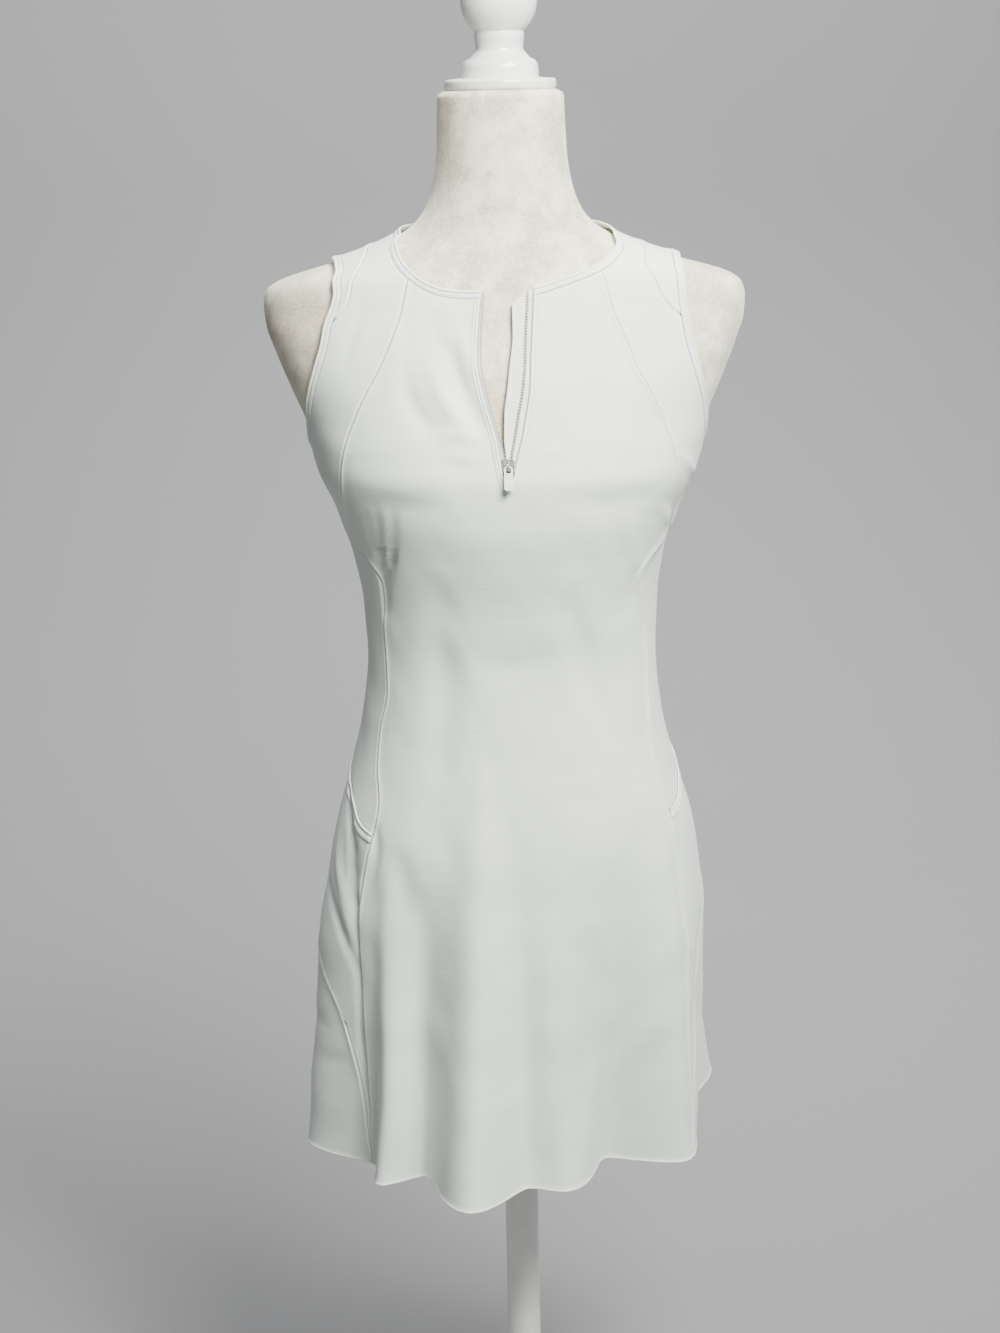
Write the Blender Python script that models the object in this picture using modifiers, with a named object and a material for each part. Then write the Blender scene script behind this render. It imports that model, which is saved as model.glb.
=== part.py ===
"""A sleeveless half-zip tennis dress on a limbless dress form.

Metres, +Z up. The form's axis is the Z axis, the floor is Z = 0 and the front
of the dress faces -Y. Left and right are the viewer's: left is -X.

A place on the body is given by two numbers. "around" is the angle in degrees
about the Z axis, 0 at the centre front, -90 at the left side, 90 at the right
side and 180 at the centre back. "height" is Z.
"""

import math

import bmesh
import bpy
import numpy as np

# Driving dimensions
NAME = "tennis_dress_on_form"
HEM = 0.4365
NECK_TOP = 1.400
TORSO_BOTTOM = 0.655
CLOTH = 0.0012          # wall of the cloth
BINDING = 0.0018        # wall of the folded bindings
BINDING_WIDTH = 0.0072
BINDING_RAISE = 0.0004  # how far a binding stands proud of its panel
SEAM_GAP = 0.0003
PANEL_INSET = BINDING_WIDTH + SEAM_GAP  # from an opening's edge to the panel
ZIP_TOP = 1.2360
ZIP_BOTTOM = 1.0735
GUARD_LEAN = 0.0115     # how far the guard's top edge slopes down to the left
TAPE = 0.0010           # wall of the zip tapes and the guard
POCKET_BINDING_WIDTH = 0.0090

SLIDER_HEIGHT = 1.0935
SLIDER_LENGTH = 0.0105
SLIDER_WIDTH = 0.0115
SLIDER_FOOT_WIDTH = 0.0085
SLIDER_THICKNESS = 0.0026
SLIDER_ROUNDING = 0.0009
BAIL_RADIUS = 0.0007
BAIL_HEIGHT = 0.0058    # of the arch's middle line over the cloth
BAIL_TOP_END = 0.0030   # ends of the arch, up and down from the slider's middle
BAIL_LOW_END = -0.0044
BAIL_SQUARENESS = 0.6   # under 1 the arch stands up straighter at its ends
BAIL_STEPS = 8
PULL_WIDTH = 0.0075
PULL_LENGTH = 0.0205
PULL_THICKNESS = 0.0012
PULL_ROUNDING = 0.0026
EYE_WIDTH = 0.0042
EYE_LENGTH = 0.0046
EYE_ROUNDING = 0.0008
PIVOT_OUT = 0.0040      # from the cloth to the pull's hinge
PIVOT_UP = -0.0016      # from the slider's middle to the hinge

BALL_RADIUS = 0.033
BALL_HEIGHT = 0.074     # of its middle over the neck's top
STEM_RADIUS = 0.0215
DOME_RADIUS = 0.0335
PLATE_RADIUS = 0.0485
POLE_RADIUS = 0.016
BOSS_RADIUS = 0.030
BOSS_HEIGHT = 0.008
BASE_RADIUS = 0.165
BASE_THICKNESS = 0.012

# Sections of the bare form: half width, depth to the front and to the back,
# and how square each half is (2 is an ellipse)
FIGURE = (
    # height, half_width, front, back, square_front, square_back
    (0.655, 0.1550, 0.1045, 0.1055, 2.2, 2.2),
    (0.700, 0.1640, 0.1110, 0.1120, 2.2, 2.2),
    (0.750, 0.1560, 0.1080, 0.1060, 2.2, 2.2),
    (0.800, 0.1420, 0.1010, 0.0930, 2.2, 2.2),
    (0.850, 0.1300, 0.0940, 0.0810, 2.2, 2.2),
    (0.900, 0.1245, 0.0900, 0.0750, 2.2, 2.2),
    (0.950, 0.1260, 0.0940, 0.0760, 2.2, 2.2),
    (1.000, 0.1330, 0.1060, 0.0820, 2.3, 2.2),
    (1.040, 0.1450, 0.1170, 0.0870, 2.4, 2.2),
    (1.075, 0.1615, 0.1220, 0.0910, 2.5, 2.2),
    (1.100, 0.1685, 0.1180, 0.0930, 2.5, 2.2),
    (1.120, 0.1770, 0.1130, 0.0950, 2.4, 2.2),
    (1.150, 0.1900, 0.1050, 0.0960, 2.3, 2.2),
    (1.180, 0.2020, 0.0960, 0.0940, 2.2, 2.2),
    (1.205, 0.2100, 0.0880, 0.0900, 2.1, 2.1),
    (1.222, 0.2115, 0.0830, 0.0860, 2.0, 2.0),
    (1.234, 0.2080, 0.0790, 0.0820, 2.0, 2.0),
    (1.242, 0.1970, 0.0765, 0.0795, 2.0, 2.0),
    (1.248, 0.1790, 0.0740, 0.0775, 2.0, 2.0),
    (1.255, 0.1540, 0.0710, 0.0750, 2.0, 2.0),
    (1.264, 0.1250, 0.0675, 0.0710, 2.0, 2.0),
    (1.275, 0.0980, 0.0635, 0.0665, 2.0, 2.0),
    (1.287, 0.0790, 0.0595, 0.0625, 2.0, 2.0),
    (1.302, 0.0675, 0.0565, 0.0585, 2.0, 2.0),
    (1.322, 0.0605, 0.0545, 0.0555, 2.0, 2.0),
    (1.350, 0.0565, 0.0535, 0.0540, 2.0, 2.0),
    (1.400, 0.0545, 0.0530, 0.0530, 2.0, 2.0),
)
# From the armholes up the cloth follows the form: how far its outside lies from
# the bare form, least where it rests on the shoulders
EASE = (
    # height, ease
    (1.120, 0.0045),
    (1.180, 0.0042),
    (1.215, 0.0036),
    (1.235, 0.0032),
    (1.300, 0.0030),
)

# Sections of the dress below the armholes, before its flutes
DRESS_BODY = (
    # height, half_width, front, back, square_front, square_back
    (0.420, 0.1900, 0.1180, 0.1420, 2.1, 2.2),
    (0.510, 0.1875, 0.1180, 0.1380, 2.1, 2.2),
    (0.600, 0.1830, 0.1190, 0.1320, 2.2, 2.2),
    (0.660, 0.1795, 0.1200, 0.1270, 2.2, 2.2),
    (0.700, 0.1735, 0.1190, 0.1210, 2.2, 2.2),
    (0.750, 0.1640, 0.1160, 0.1140, 2.2, 2.2),
    (0.800, 0.1490, 0.1090, 0.1010, 2.2, 2.2),
    (0.850, 0.1370, 0.1020, 0.0890, 2.2, 2.2),
    (0.900, 0.1310, 0.0985, 0.0830, 2.2, 2.2),
    (0.950, 0.1325, 0.1040, 0.0840, 2.2, 2.2),
    (1.000, 0.1395, 0.1160, 0.0890, 2.3, 2.2),
    (1.040, 0.1520, 0.1260, 0.0930, 2.4, 2.2),
    (1.075, 0.1680, 0.1290, 0.0965, 2.5, 2.2),
    (1.100, 0.1745, 0.1235, 0.0980, 2.5, 2.2),
)

# Crests and troughs of the skirt: where each one is, how far from the axis it
# stands at the hem, and the height where it has faded out
FLUTES = (
    # name, around, hem_radius, top
    ("left side crest", -82.0, 0.204, 0.80),
    ("left pleat", -57.0, 0.160, 0.78),
    ("left front crest", -46.0, 0.183, 0.74),
    ("left front trough", -38.5, 0.141, 0.72),
    ("front crest", -15.0, 0.191, 0.84),
    ("middle trough", 3.0, 0.139, 0.76),
    ("middle crest", 16.0, 0.152, 0.76),
    ("right trough", 43.0, 0.112, 0.80),
    ("right crest", 61.0, 0.179, 0.84),
    ("right side", 84.0, 0.168, 0.78),
    ("right side trough", 101.0, 0.170, 0.78),
    ("right back crest", 126.0, 0.233, 0.82),
    ("right back trough", 146.0, 0.150, 0.78),
    ("back crest", 168.0, 0.200, 0.82),
    ("back trough", 188.0, 0.155, 0.78),
    ("left middle back crest", 210.0, 0.205, 0.82),
    ("left back trough", 233.0, 0.165, 0.78),
    ("left back crest", 256.0, 0.205, 0.80),
    ("left side trough", 267.0, 0.180, 0.78),
)
FLUTE_POWER = 1.5  # how much faster a flute grows towards the hem

# Seams, from the top down
SEAMS = {
    # name: rows of (height, around)
    "princess_left": ((1.255, -47.5), (1.213, -47.5), (1.176, -49.5), (1.148, -53.0), (1.124, -56.0),
                      (1.100, -58.5), (1.070, -61.5), (1.045, -68.0), (1.022, -79.0)),
    "princess_right": ((1.255, 50.0), (1.222, 48.5), (1.194, 49.5), (1.172, 50.5), (1.150, 53.0),
                       (1.130, 55.5), (1.100, 59.0), (1.070, 63.0), (1.045, 68.5), (1.022, 77.0)),
    "side_front_left": ((1.022, -79.0), (1.010, -68.5), (1.002, -63.0), (0.990, -59.5), (0.964, -60.5),
                        (0.936, -62.5), (0.904, -63.0), (0.880, -62.5), (0.846, -65.0), (0.820, -63.5),
                        (0.778, -58.5), (0.756, -59.0)),
    "side_front_right": ((1.022, 77.0), (1.010, 67.5), (0.999, 61.5), (0.986, 58.0), (0.964, 62.0),
                         (0.936, 67.5), (0.904, 69.5), (0.864, 68.0), (0.824, 65.5), (0.800, 65.0),
                         (0.768, 66.5)),
    "low_front_left": ((0.756, -59.0), (0.690, -62.0), (0.600, -61.0), (0.455, -59.8)),
    "low_front_right": ((0.768, 66.5), (0.724, 65.5), (0.660, 65.5), (0.570, 64.0), (0.455, 64.0)),
    "hem_front_left": ((0.455, -59.8), (HEM, -59.5)),
    "hem_front_right": ((0.455, 64.0), (HEM, 64.0)),
    "side_back_left": ((1.022, -79.0), (1.005, -93.0), (0.975, -101.0), (0.930, -106.0), (0.880, -109.0),
                       (0.835, -113.0)),
    "side_back_right": ((1.022, 77.0), (1.005, 92.0), (0.975, 101.0), (0.930, 106.0), (0.880, 109.0),
                        (0.832, 113.0)),
    "low_back_left": ((0.835, -113.0), (0.785, -114.0), (0.740, -111.0), (0.700, -103.0), (0.660, -90.0),
                      (0.636, -82.5), (0.612, -76.0), (0.587, -69.5), (0.553, -65.5), (0.520, -63.0),
                      (0.455, -60.3)),
    "low_back_right": ((0.832, 113.0), (0.785, 114.0), (0.740, 109.0), (0.700, 97.0), (0.667, 84.0),
                       (0.646, 77.0), (0.610, 72.0), (0.553, 68.5), (0.520, 67.0), (0.455, 64.5)),
}

# The pocket mouths, from the corner on the front seam up and back
POCKETS = {
    # name: rows of (around, height)
    "left": ((-59.0, 0.756), (-64.0, 0.7605), (-72.0, 0.7785), (-84.5, 0.7965), (-98.0, 0.8150),
             (-113.0, 0.8350)),
    "right": ((66.5, 0.768), (72.0, 0.7730), (80.0, 0.7850), (90.0, 0.8000), (101.0, 0.8160),
              (113.0, 0.8320)),
}

# The opening of the neck, once round
NECK_EDGE = (
    # around, height
    (-180.0, 1.2900), (-140.0, 1.2890), (-110.0, 1.2870), (-90.0, 1.2850), (-74.5, 1.2815),
    (-69.5, 1.2760), (-61.5, 1.2685), (-49.5, 1.2535), (-41.5, 1.2445), (-33.5, 1.2390),
    (-25.0, 1.2370), (-12.5, 1.2365), (0.0, 1.2365), (15.5, 1.2385), (29.5, 1.2440), (40.5, 1.2495),
    (52.0, 1.2570), (59.5, 1.2640), (69.0, 1.2720), (75.5, 1.2775), (90.0, 1.2830), (110.0, 1.2870),
    (140.0, 1.2890),
)
# The opening of each arm, from the underarm up the front and down the back
ARM_EDGE = {
    "left": (
        # around, height
        (-90.0, 1.1000), (-84.0, 1.1035), (-78.0, 1.1170), (-71.5, 1.1465), (-68.5, 1.1685),
        (-67.0, 1.1905), (-67.0, 1.2115), (-69.0, 1.2375), (-74.0, 1.2500), (-81.5, 1.2575),
        (-92.0, 1.2600), (-102.0, 1.2580), (-109.5, 1.2490), (-113.5, 1.2330), (-115.0, 1.2050),
        (-113.0, 1.1750), (-108.0, 1.1430), (-101.0, 1.1150), (-95.5, 1.1035),
    ),
    "right": (
        (90.0, 1.0960), (84.0, 1.0990), (79.0, 1.1110), (74.5, 1.1325), (71.0, 1.1500),
        (68.5, 1.1700), (67.5, 1.1945), (68.5, 1.2190), (72.0, 1.2460), (78.5, 1.2550),
        (87.5, 1.2590), (98.0, 1.2590), (106.5, 1.2520), (112.0, 1.2370), (114.5, 1.2090),
        (113.0, 1.1770), (108.0, 1.1430), (101.0, 1.1120), (95.5, 1.0995),
    ),
}
ARM_STEPS = 32        # places sampled round each arm opening
# The forward shoulder seams, from the armhole up, over and to the neck
SHOULDER_SEAM = {
    "left": (
        # around, height
        (-64.0, 1.2050), (-63.3, 1.2270), (-64.0, 1.2395), (-67.5, 1.2550), (-76.5, 1.2665),
        (-88.0, 1.2710), (-99.0, 1.2725), (-108.0, 1.2740),
    ),
    "right": (
        (64.8, 1.1990), (64.2, 1.2195), (63.5, 1.2385), (65.0, 1.2520), (73.5, 1.2630),
        (84.0, 1.2685), (97.0, 1.2715), (108.0, 1.2740),
    ),
}
# Free edges beside the zip, from the top down: a row holds a height and, at
# that height, how far round each edge lies
ZIP_EDGES = (
    # height, panel_left, panel_right, teeth_left, teeth_right, guard_left
    (1.2365, -13.0, 16.6, -11.5, 13.0, 3.6),
    (1.2240, -13.6, 15.3, -12.0, 12.2, 3.6),
    (1.1985, -14.0, 13.0, -12.3, 10.0, 3.4),
    (1.1800, -13.5, 11.5, -11.8, 9.0, 1.8),
    (1.1545, -10.5, 10.0, -8.9, 7.0, 0.0),
    (1.1345, -7.4, 7.8, -5.8, 4.7, -1.4),
    (1.1165, -4.6, 5.8, -3.2, 2.9, -1.6),
    (1.1000, -3.1, 3.6, -1.5, 1.3, -0.9),
    (1.0850, -1.8, 1.8, -0.5, 0.5, 0.0),
    (ZIP_BOTTOM, 0.0, 0.0, 0.0, 0.0, 0.0),
)

# Rows along each seam, and columns of the panels
SEAM_STEPS = {"side": 5, "side_front": 15, "low_front": 12, "hem_front": 1}
SHOULDER_STEPS = 7
SHOULDER_FOOT = 10    # steps up the arm opening to the foot of the shoulder seam
NECK_SHOULDER_STEPS = 6
NECK_BACK_STEPS = 7   # in each half, behind the shoulder seam
FRONT_COLUMNS = 9     # in each half
BACK_COLUMNS = 16     # in each half, every second one above the waist
ARMHOLE_COLUMNS = 6
POCKET_STEPS = 6      # along a pocket mouth, and columns of the side panels
BACK_FULL_BELOW = 0.90
FIGURE_COLUMNS = 36
FIGURE_SPREAD = 1.7   # crowds the columns where the shoulders turn
FIGURE_BETWEEN = (1.165, 1.194, 1.228, 1.2515, 1.2695)

CLOTH_WHITE = (0.78, 0.80, 0.78)
FORM_CREAM = (0.70, 0.66, 0.59)
GLOSS_WHITE = (0.82, 0.81, 0.78)
CHROME = (0.75, 0.75, 0.74)
TAB_WHITE = (0.80, 0.80, 0.77)


# Curves through tables
def smooth_rows(table, at):
    """Reads a table at the values of its first column, smoothly and without overshoot."""
    table = np.asarray(table, float)
    at = np.asarray(at, float)
    x = table[:, 0]
    y = table[:, 1:]
    step = np.diff(x)[:, None]
    slope = np.diff(y, axis=0) / step
    tangent = np.zeros_like(y)
    tangent[0] = slope[0]
    tangent[-1] = slope[-1]
    if len(x) > 2:
        before = 2 * step[1:] + step[:-1]
        after = step[1:] + 2 * step[:-1]
        same_way = slope[:-1] * slope[1:] > 0
        safe_low = np.where(same_way, slope[:-1], 1.0)
        safe_high = np.where(same_way, slope[1:], 1.0)
        mean = (before + after) / (before / safe_low + after / safe_high)
        tangent[1:-1] = np.where(same_way, mean, 0.0)
    at = np.clip(at, x[0], x[-1])
    row = np.clip(np.searchsorted(x, at, side="right") - 1, 0, len(x) - 2)
    t = ((at - x[row]) / (x[row + 1] - x[row]))[..., None]
    width = (x[row + 1] - x[row])[..., None]
    return (
        (2 * t**3 - 3 * t**2 + 1) * y[row]
        + (t**3 - 2 * t**2 + t) * width * tangent[row]
        + (3 * t**2 - 2 * t**3) * y[row + 1]
        + (t**3 - t**2) * width * tangent[row + 1]
    )


def smooth_around(angles, values, at):
    """Reads values that repeat every turn."""
    turns = [np.asarray(angles, float) + 360 * turn for turn in (-1, 0, 1)]
    table = np.stack([np.concatenate(turns), np.tile(values, 3)], axis=1)
    return smooth_rows(table, at)[..., 0]


# Surfaces
def section_radius(table, around, height):
    """Distance from the axis to a section, which is a superellipse on each half."""
    half_width, front, back, square_front, square_back = np.moveaxis(smooth_rows(table, height), -1, 0)
    turn = np.radians(around)
    in_front = np.cos(turn) > 0
    depth = np.where(in_front, front, back)
    square = np.where(in_front, square_front, square_back)
    across = np.abs(np.sin(turn) / half_width) ** square
    along = np.abs(np.cos(turn) / depth) ** square
    return (across + along) ** (-1 / square)


def place(around, height, radius):
    turn = np.radians(around)
    return np.stack([radius * np.sin(turn), -radius * np.cos(turn), height], axis=-1)


def figure_point(around, height):
    around, height = np.broadcast_arrays(np.asarray(around, float), np.asarray(height, float))
    return place(around, height, section_radius(FIGURE, around, height))


def dress_sections():
    shoulder = np.array([row for row in FIGURE if row[0] >= EASE[0][0]])
    shoulder[:, :4] += smooth_rows(EASE, shoulder[:, 0])
    return np.concatenate([np.array(DRESS_BODY), shoulder])


DRESS = dress_sections()


def dress_point(around, height):
    """The outside of the cloth."""
    around, height = np.broadcast_arrays(np.asarray(around, float), np.asarray(height, float))
    names, angles, hem_radii, tops = zip(*FLUTES)
    top = smooth_around(angles, tops, around)
    growth = np.clip((top - height) / (top - HEM), 0.0, 1.05) ** FLUTE_POWER
    flute = smooth_around(angles, hem_radii, around)
    flute -= section_radius(DRESS, around, np.full_like(height, HEM))
    return place(around, height, section_radius(DRESS, around, height) + flute * growth)


def dress_normal(around, height):
    turn = 0.4
    rise = 0.0008
    across = dress_point(around + turn, height) - dress_point(around - turn, height)
    upward = dress_point(around, height + rise) - dress_point(around, height - rise)
    normal = np.cross(across, upward)
    return normal / np.linalg.norm(normal, axis=-1, keepdims=True)


def unit(vectors):
    return vectors / np.linalg.norm(vectors, axis=-1, keepdims=True)


def turns_and_heights(points, near):
    """The rows of (around, height) of points, with turns close to those of near."""
    around = np.degrees(np.arctan2(points[..., 0], -points[..., 1]))
    around += 360 * np.round((near - around) / 360)
    return np.stack([around, points[..., 2]], axis=-1)


def beside(path, distance, aim, closed=False):
    """Moves a path of (around, height) rows sideways in the cloth, towards the place aim.

    A negative distance moves it away from aim. Corners keep the distance from
    both of their edges.
    """
    path = np.asarray(path, float)
    if closed:
        path = np.concatenate([path[-2:], path, path[:2]])
    points = dress_point(path[:, 0], path[:, 1])
    normals = dress_normal(path[:, 0], path[:, 1])
    edges = unit(np.diff(points, axis=0))
    before = unit(np.cross(edges[[0, *range(len(edges))]], normals))
    after = unit(np.cross(edges[[*range(len(edges)), -1]], normals))
    sideways = before + after
    sideways *= 2.0 / np.maximum(np.sum(sideways**2, axis=1, keepdims=True), 1.0)
    target = aim if len(aim) == 3 else dress_point(*aim)
    sideways *= np.sign(np.sum(sideways * (target - points)))
    result = turns_and_heights(points + sideways * distance, path[:, 0])
    return result[2:-2] if closed else result


def inside_corner(first, last, distance):
    """The place between two paths that start at one corner, at a distance from both."""
    corner, one, other = (dress_point(*row) for row in (first[0], first[1], last[1]))
    one = unit(one - corner)
    other = unit(other - corner)
    spread = np.linalg.norm(np.cross(one, other))
    return turns_and_heights(corner + distance * (one + other) / spread, first[0][0])


def resampled(path, count, closed=False):
    """Rows at even distances along a smooth curve through a path."""
    path = np.asarray(path, float)
    knots = np.concatenate([path, path[:1]]) if closed else path
    points = dress_point(knots[:, 0], knots[:, 1])
    length = np.concatenate([[0.0], np.cumsum(np.linalg.norm(np.diff(points, axis=0), axis=1))])
    table = np.concatenate([length[:, None], knots], axis=1)
    if closed:
        before = table[-3:-1] - [length[-1], 0, 0]
        after = table[1:3] + [length[-1], 0, 0]
        table = np.concatenate([before, table, after])
        return curve_through(table, np.linspace(0.0, length[-1], count + 1)[:-1])
    return curve_through(table, np.linspace(0.0, length[-1], count))


def curve_through(table, at):
    """Reads a table as a curve whose values may turn back."""
    x = table[:, 0]
    y = table[:, 1:]
    tangent = np.gradient(y, x, axis=0) if len(x) > 2 else np.tile(np.diff(y, axis=0) / np.diff(x), (2, 1))
    row = np.clip(np.searchsorted(x, at, side="right") - 1, 0, len(x) - 2)
    width = (x[row + 1] - x[row])[:, None]
    t = ((at - x[row]) / (x[row + 1] - x[row]))[:, None]
    return (
        (2 * t**3 - 3 * t**2 + 1) * y[row]
        + (t**3 - 2 * t**2 + t) * width * tangent[row]
        + (3 * t**2 - 2 * t**3) * y[row + 1]
        + (t**3 - t**2) * width * tangent[row + 1]
    )


# Meshes
def material(name, colour, roughness, metallic=0.0):
    made = bpy.data.materials.new(name)
    made.use_nodes = True
    shader = made.node_tree.nodes["Principled BSDF"]
    shader.inputs["Base Color"].default_value = (*colour, 1.0)
    shader.inputs["Roughness"].default_value = roughness
    shader.inputs["Metallic"].default_value = metallic
    return made


def add_object(name, mesh, finish, collection):
    piece = bpy.data.objects.new(name, mesh)
    mesh.materials.append(finish)
    collection.objects.link(piece)
    return piece


def grid_faces(rows, columns, thin_rows):
    """Faces of a grid of points. The first thin_rows rows use every second column."""
    faces = []
    for row in range(rows - 1):
        step = 2 if row < thin_rows else 1
        for column in range(0, columns - 1, step):
            top_left = row * columns + column
            top_right = top_left + step
            low_left = top_left + columns
            low_right = top_right + columns
            low = [low_left, low_left + 1, low_right] if step == 2 and row == thin_rows - 1 else [low_left, low_right]
            faces.append([top_right, top_left, *low])
    return faces


def cloth_solid(name, grids, wall, finish, collection, thin_rows=0):
    """A cloth piece from grids of points and normals, welded where they meet.

    The points are its outside, and its wall goes inwards along the normals.
    """
    body = bmesh.new()
    outward = body.verts.layers.float_vector.new("outward")
    for points, normals in grids:
        corners = []
        for point, normal in zip(points.reshape(-1, 3), normals.reshape(-1, 3)):
            corner = body.verts.new(point)
            corner[outward] = normal
            corners.append(corner)
        for face in grid_faces(*points.shape[:2], thin_rows):
            body.faces.new([corners[index] for index in face])
    loose = [corner for corner in body.verts if not corner.link_faces]
    bmesh.ops.delete(body, geom=loose, context="VERTS")
    bmesh.ops.remove_doubles(body, verts=body.verts, dist=0.00005)
    skin = [*body.verts, *body.edges, *body.faces]
    grown = bmesh.ops.extrude_face_region(body, geom=skin, use_keep_orig=True)["geom"]
    for corner in grown:
        if isinstance(corner, bmesh.types.BMVert):
            corner.co -= wall * corner[outward]
    bmesh.ops.recalc_face_normals(body, faces=body.faces)
    body.verts.layers.float_vector.remove(outward)
    mesh = bpy.data.meshes.new(name)
    body.to_mesh(mesh)
    body.free()
    mesh.shade_smooth()
    mesh.set_sharp_from_angle(angle=math.radians(50))
    return add_object(name, mesh, finish, collection)


def ruled(first, last, columns, crown=None):
    """A grid of (around, height) between two edges, with columns at even distances in the cloth.

    The first row may be given, as the crown, whose bow fades out downwards.
    """
    dense = 8 * columns
    first = np.asarray(first)[:, None, :]
    last = np.asarray(last)[:, None, :]
    across = np.linspace(0.0, 1.0, dense + 1)[None, :, None]
    grid = first * (1 - across) + last * across
    if crown is not None:
        down = np.linspace(0.0, 1.0, len(first))[:, None, None]
        bow = resampled(crown, dense + 1)[None] - grid[:1]
        grid = grid + bow * (1 - down) ** 2
    points = dress_point(grid[..., 0], grid[..., 1])
    steps = np.linalg.norm(np.diff(points, axis=1), axis=-1)
    even = []
    for row, step in zip(grid, steps):
        length = np.concatenate([[0.0], np.cumsum(step)])
        stops = np.linspace(0.0, length[-1], columns + 1)
        even.append([np.interp(stops, length, row[:, axis]) for axis in (0, 1)])
    even = np.moveaxis(np.array(even), 1, -1)
    if crown is not None:
        even[0] = crown
    return even


def on_dress(grid, out=0.0):
    """Points and normals of a grid on the cloth's outside, its faces turned outwards."""
    points = dress_point(grid[..., 0], grid[..., 1])
    normals = dress_normal(grid[..., 0], grid[..., 1])
    downward = points[1:, :-1] - points[:-1, :-1]
    rightward = points[:-1, 1:] - points[:-1, :-1]
    outward = np.sum(np.cross(downward, rightward) * normals[:-1, :-1])
    points = points + out * normals
    return (points, normals) if outward > 0 else (points[:, ::-1], normals[:, ::-1])


# Edges that the pieces share
def seam(kind, side):
    """Rows of (around, height) down a seam."""
    knots = [(around, height) for height, around in SEAMS[f"{kind}_{side}"]]
    return resampled(knots, SEAM_STEPS[kind] + 1)


def neck_line(stations, drop):
    """Rows beside the neck's edge, a distance down from it, at the given turns."""
    stations = np.asarray(stations, float)
    reach = np.sign(stations[-1] - stations[0]) * 2.0
    longer = np.concatenate([[stations[0] - reach], stations, [stations[-1] + reach]])
    angles, heights = zip(*NECK_EDGE)
    path = np.stack([longer, smooth_around(angles, heights, longer)], axis=1)
    middle = stations[len(stations) // 2]
    return beside(path, drop, (middle, smooth_around(angles, heights, middle) - 0.03))[1:-1]


def neck_crossing(side):
    """The turn at which a princess seam meets the neck's edge."""
    height = 1.25
    for _ in range(20):
        around = float(smooth_rows(SEAMS[f"princess_{side}"][::-1], height)[0])
        height = float(neck_line([around - 1, around, around + 1], PANEL_INSET)[1, 1])
    return around


class Side:
    """Every shared edge of one side of the dress."""

    def __init__(self, name):
        self.name = name
        self.sign = -1.0 if name == "left" else 1.0
        self.zip_column = 1 if name == "left" else 2
        self.arm_edge = resampled(ARM_EDGE[name], ARM_STEPS, closed=True)
        arm_points = dress_point(self.arm_edge[:, 0], self.arm_edge[:, 1])
        self.arm_middle = arm_points.mean(axis=0)
        self.arm_panel = self.arm_strip(PANEL_INSET)
        self.tip = SHOULDER_FOOT
        self.stations()
        self.shoulder = self.shoulder_seam()
        self.princess = self.princess_seam()
        self.side_front = seam("side_front", name)
        self.low_front = seam("low_front", name)
        self.hem_front = seam("hem_front", name)
        self.side_back = self.like("side_back", self.side_front)
        self.low_back = self.like("low_back", self.low_front)

    def arm_strip(self, distance):
        return beside(self.arm_edge, -distance, self.arm_middle, closed=True)

    def stations(self):
        """Turns along the neck's edge: front, over the shoulder and behind."""
        at_zip = ZIP_EDGES[0][self.zip_column]
        at_seam = neck_crossing(self.name)
        behind = SHOULDER_SEAM[self.name][-1][0]
        self.neck_front = np.linspace(at_zip, at_seam, FRONT_COLUMNS + 1)
        self.neck_shoulder = np.linspace(at_seam, behind, NECK_SHOULDER_STEPS + 1)
        self.neck_behind = np.linspace(behind, 180.0 * self.sign, NECK_BACK_STEPS + 1)

    def shoulder_seam(self):
        """From the armhole, where it starts a cloth's thickness wide, up and over to the neck."""
        knots = np.array(SHOULDER_SEAM[self.name])
        knots[0] = self.arm_strip(PANEL_INSET + CLOTH)[self.tip]
        knots[-1] = neck_line(self.neck_behind[:3], PANEL_INSET)[0]
        return resampled(knots, SHOULDER_STEPS + 1)

    def side_seam(self):
        """From the underarm down to the side panel's tip."""
        tip = SEAMS[f"side_front_{self.name}"][0]
        return resampled([self.arm_panel[0], (tip[1], tip[0])], SEAM_STEPS["side"] + 1)

    def princess_seam(self):
        """As many rows as the armhole panel's other edge has below the neck."""
        count = SHOULDER_STEPS + self.tip + SEAM_STEPS["side"] - NECK_SHOULDER_STEPS
        knots = [(around, height) for height, around in SEAMS[f"princess_{self.name}"]]
        start = neck_line(self.neck_shoulder[:3], PANEL_INSET)[0]
        knots = [start] + [knot for knot in knots if knot[1] < start[1] - 0.01]
        return resampled(knots, count + 1)

    def like(self, kind, partner):
        knots = [(around, height) for height, around in SEAMS[f"{kind}_{self.name}"]]
        return resampled(knots, len(partner))

    def shoulder_and_arm(self):
        """The outer edge of the front armhole panel, from the neck down to the side panel's tip."""
        arm = self.arm_panel[: self.tip][::-1]
        return np.concatenate([self.shoulder[::-1], arm, self.side_seam()[1:]])


def half_gap(path, aim, distance=SEAM_GAP / 2):
    return beside(path, distance, aim)


# Panels
def zip_edge(column, heights):
    table = [(row[0], row[column]) for row in ZIP_EDGES[::-1]]
    return smooth_rows(table, heights)[..., 0]


def front_outer(side):
    outer = np.concatenate([side.princess, side.side_front[1:], side.low_front[1:], side.hem_front[1:]])
    outer = half_gap(outer, (0.0, 0.8))
    outer[-1, 1] = HEM
    return outer


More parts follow.
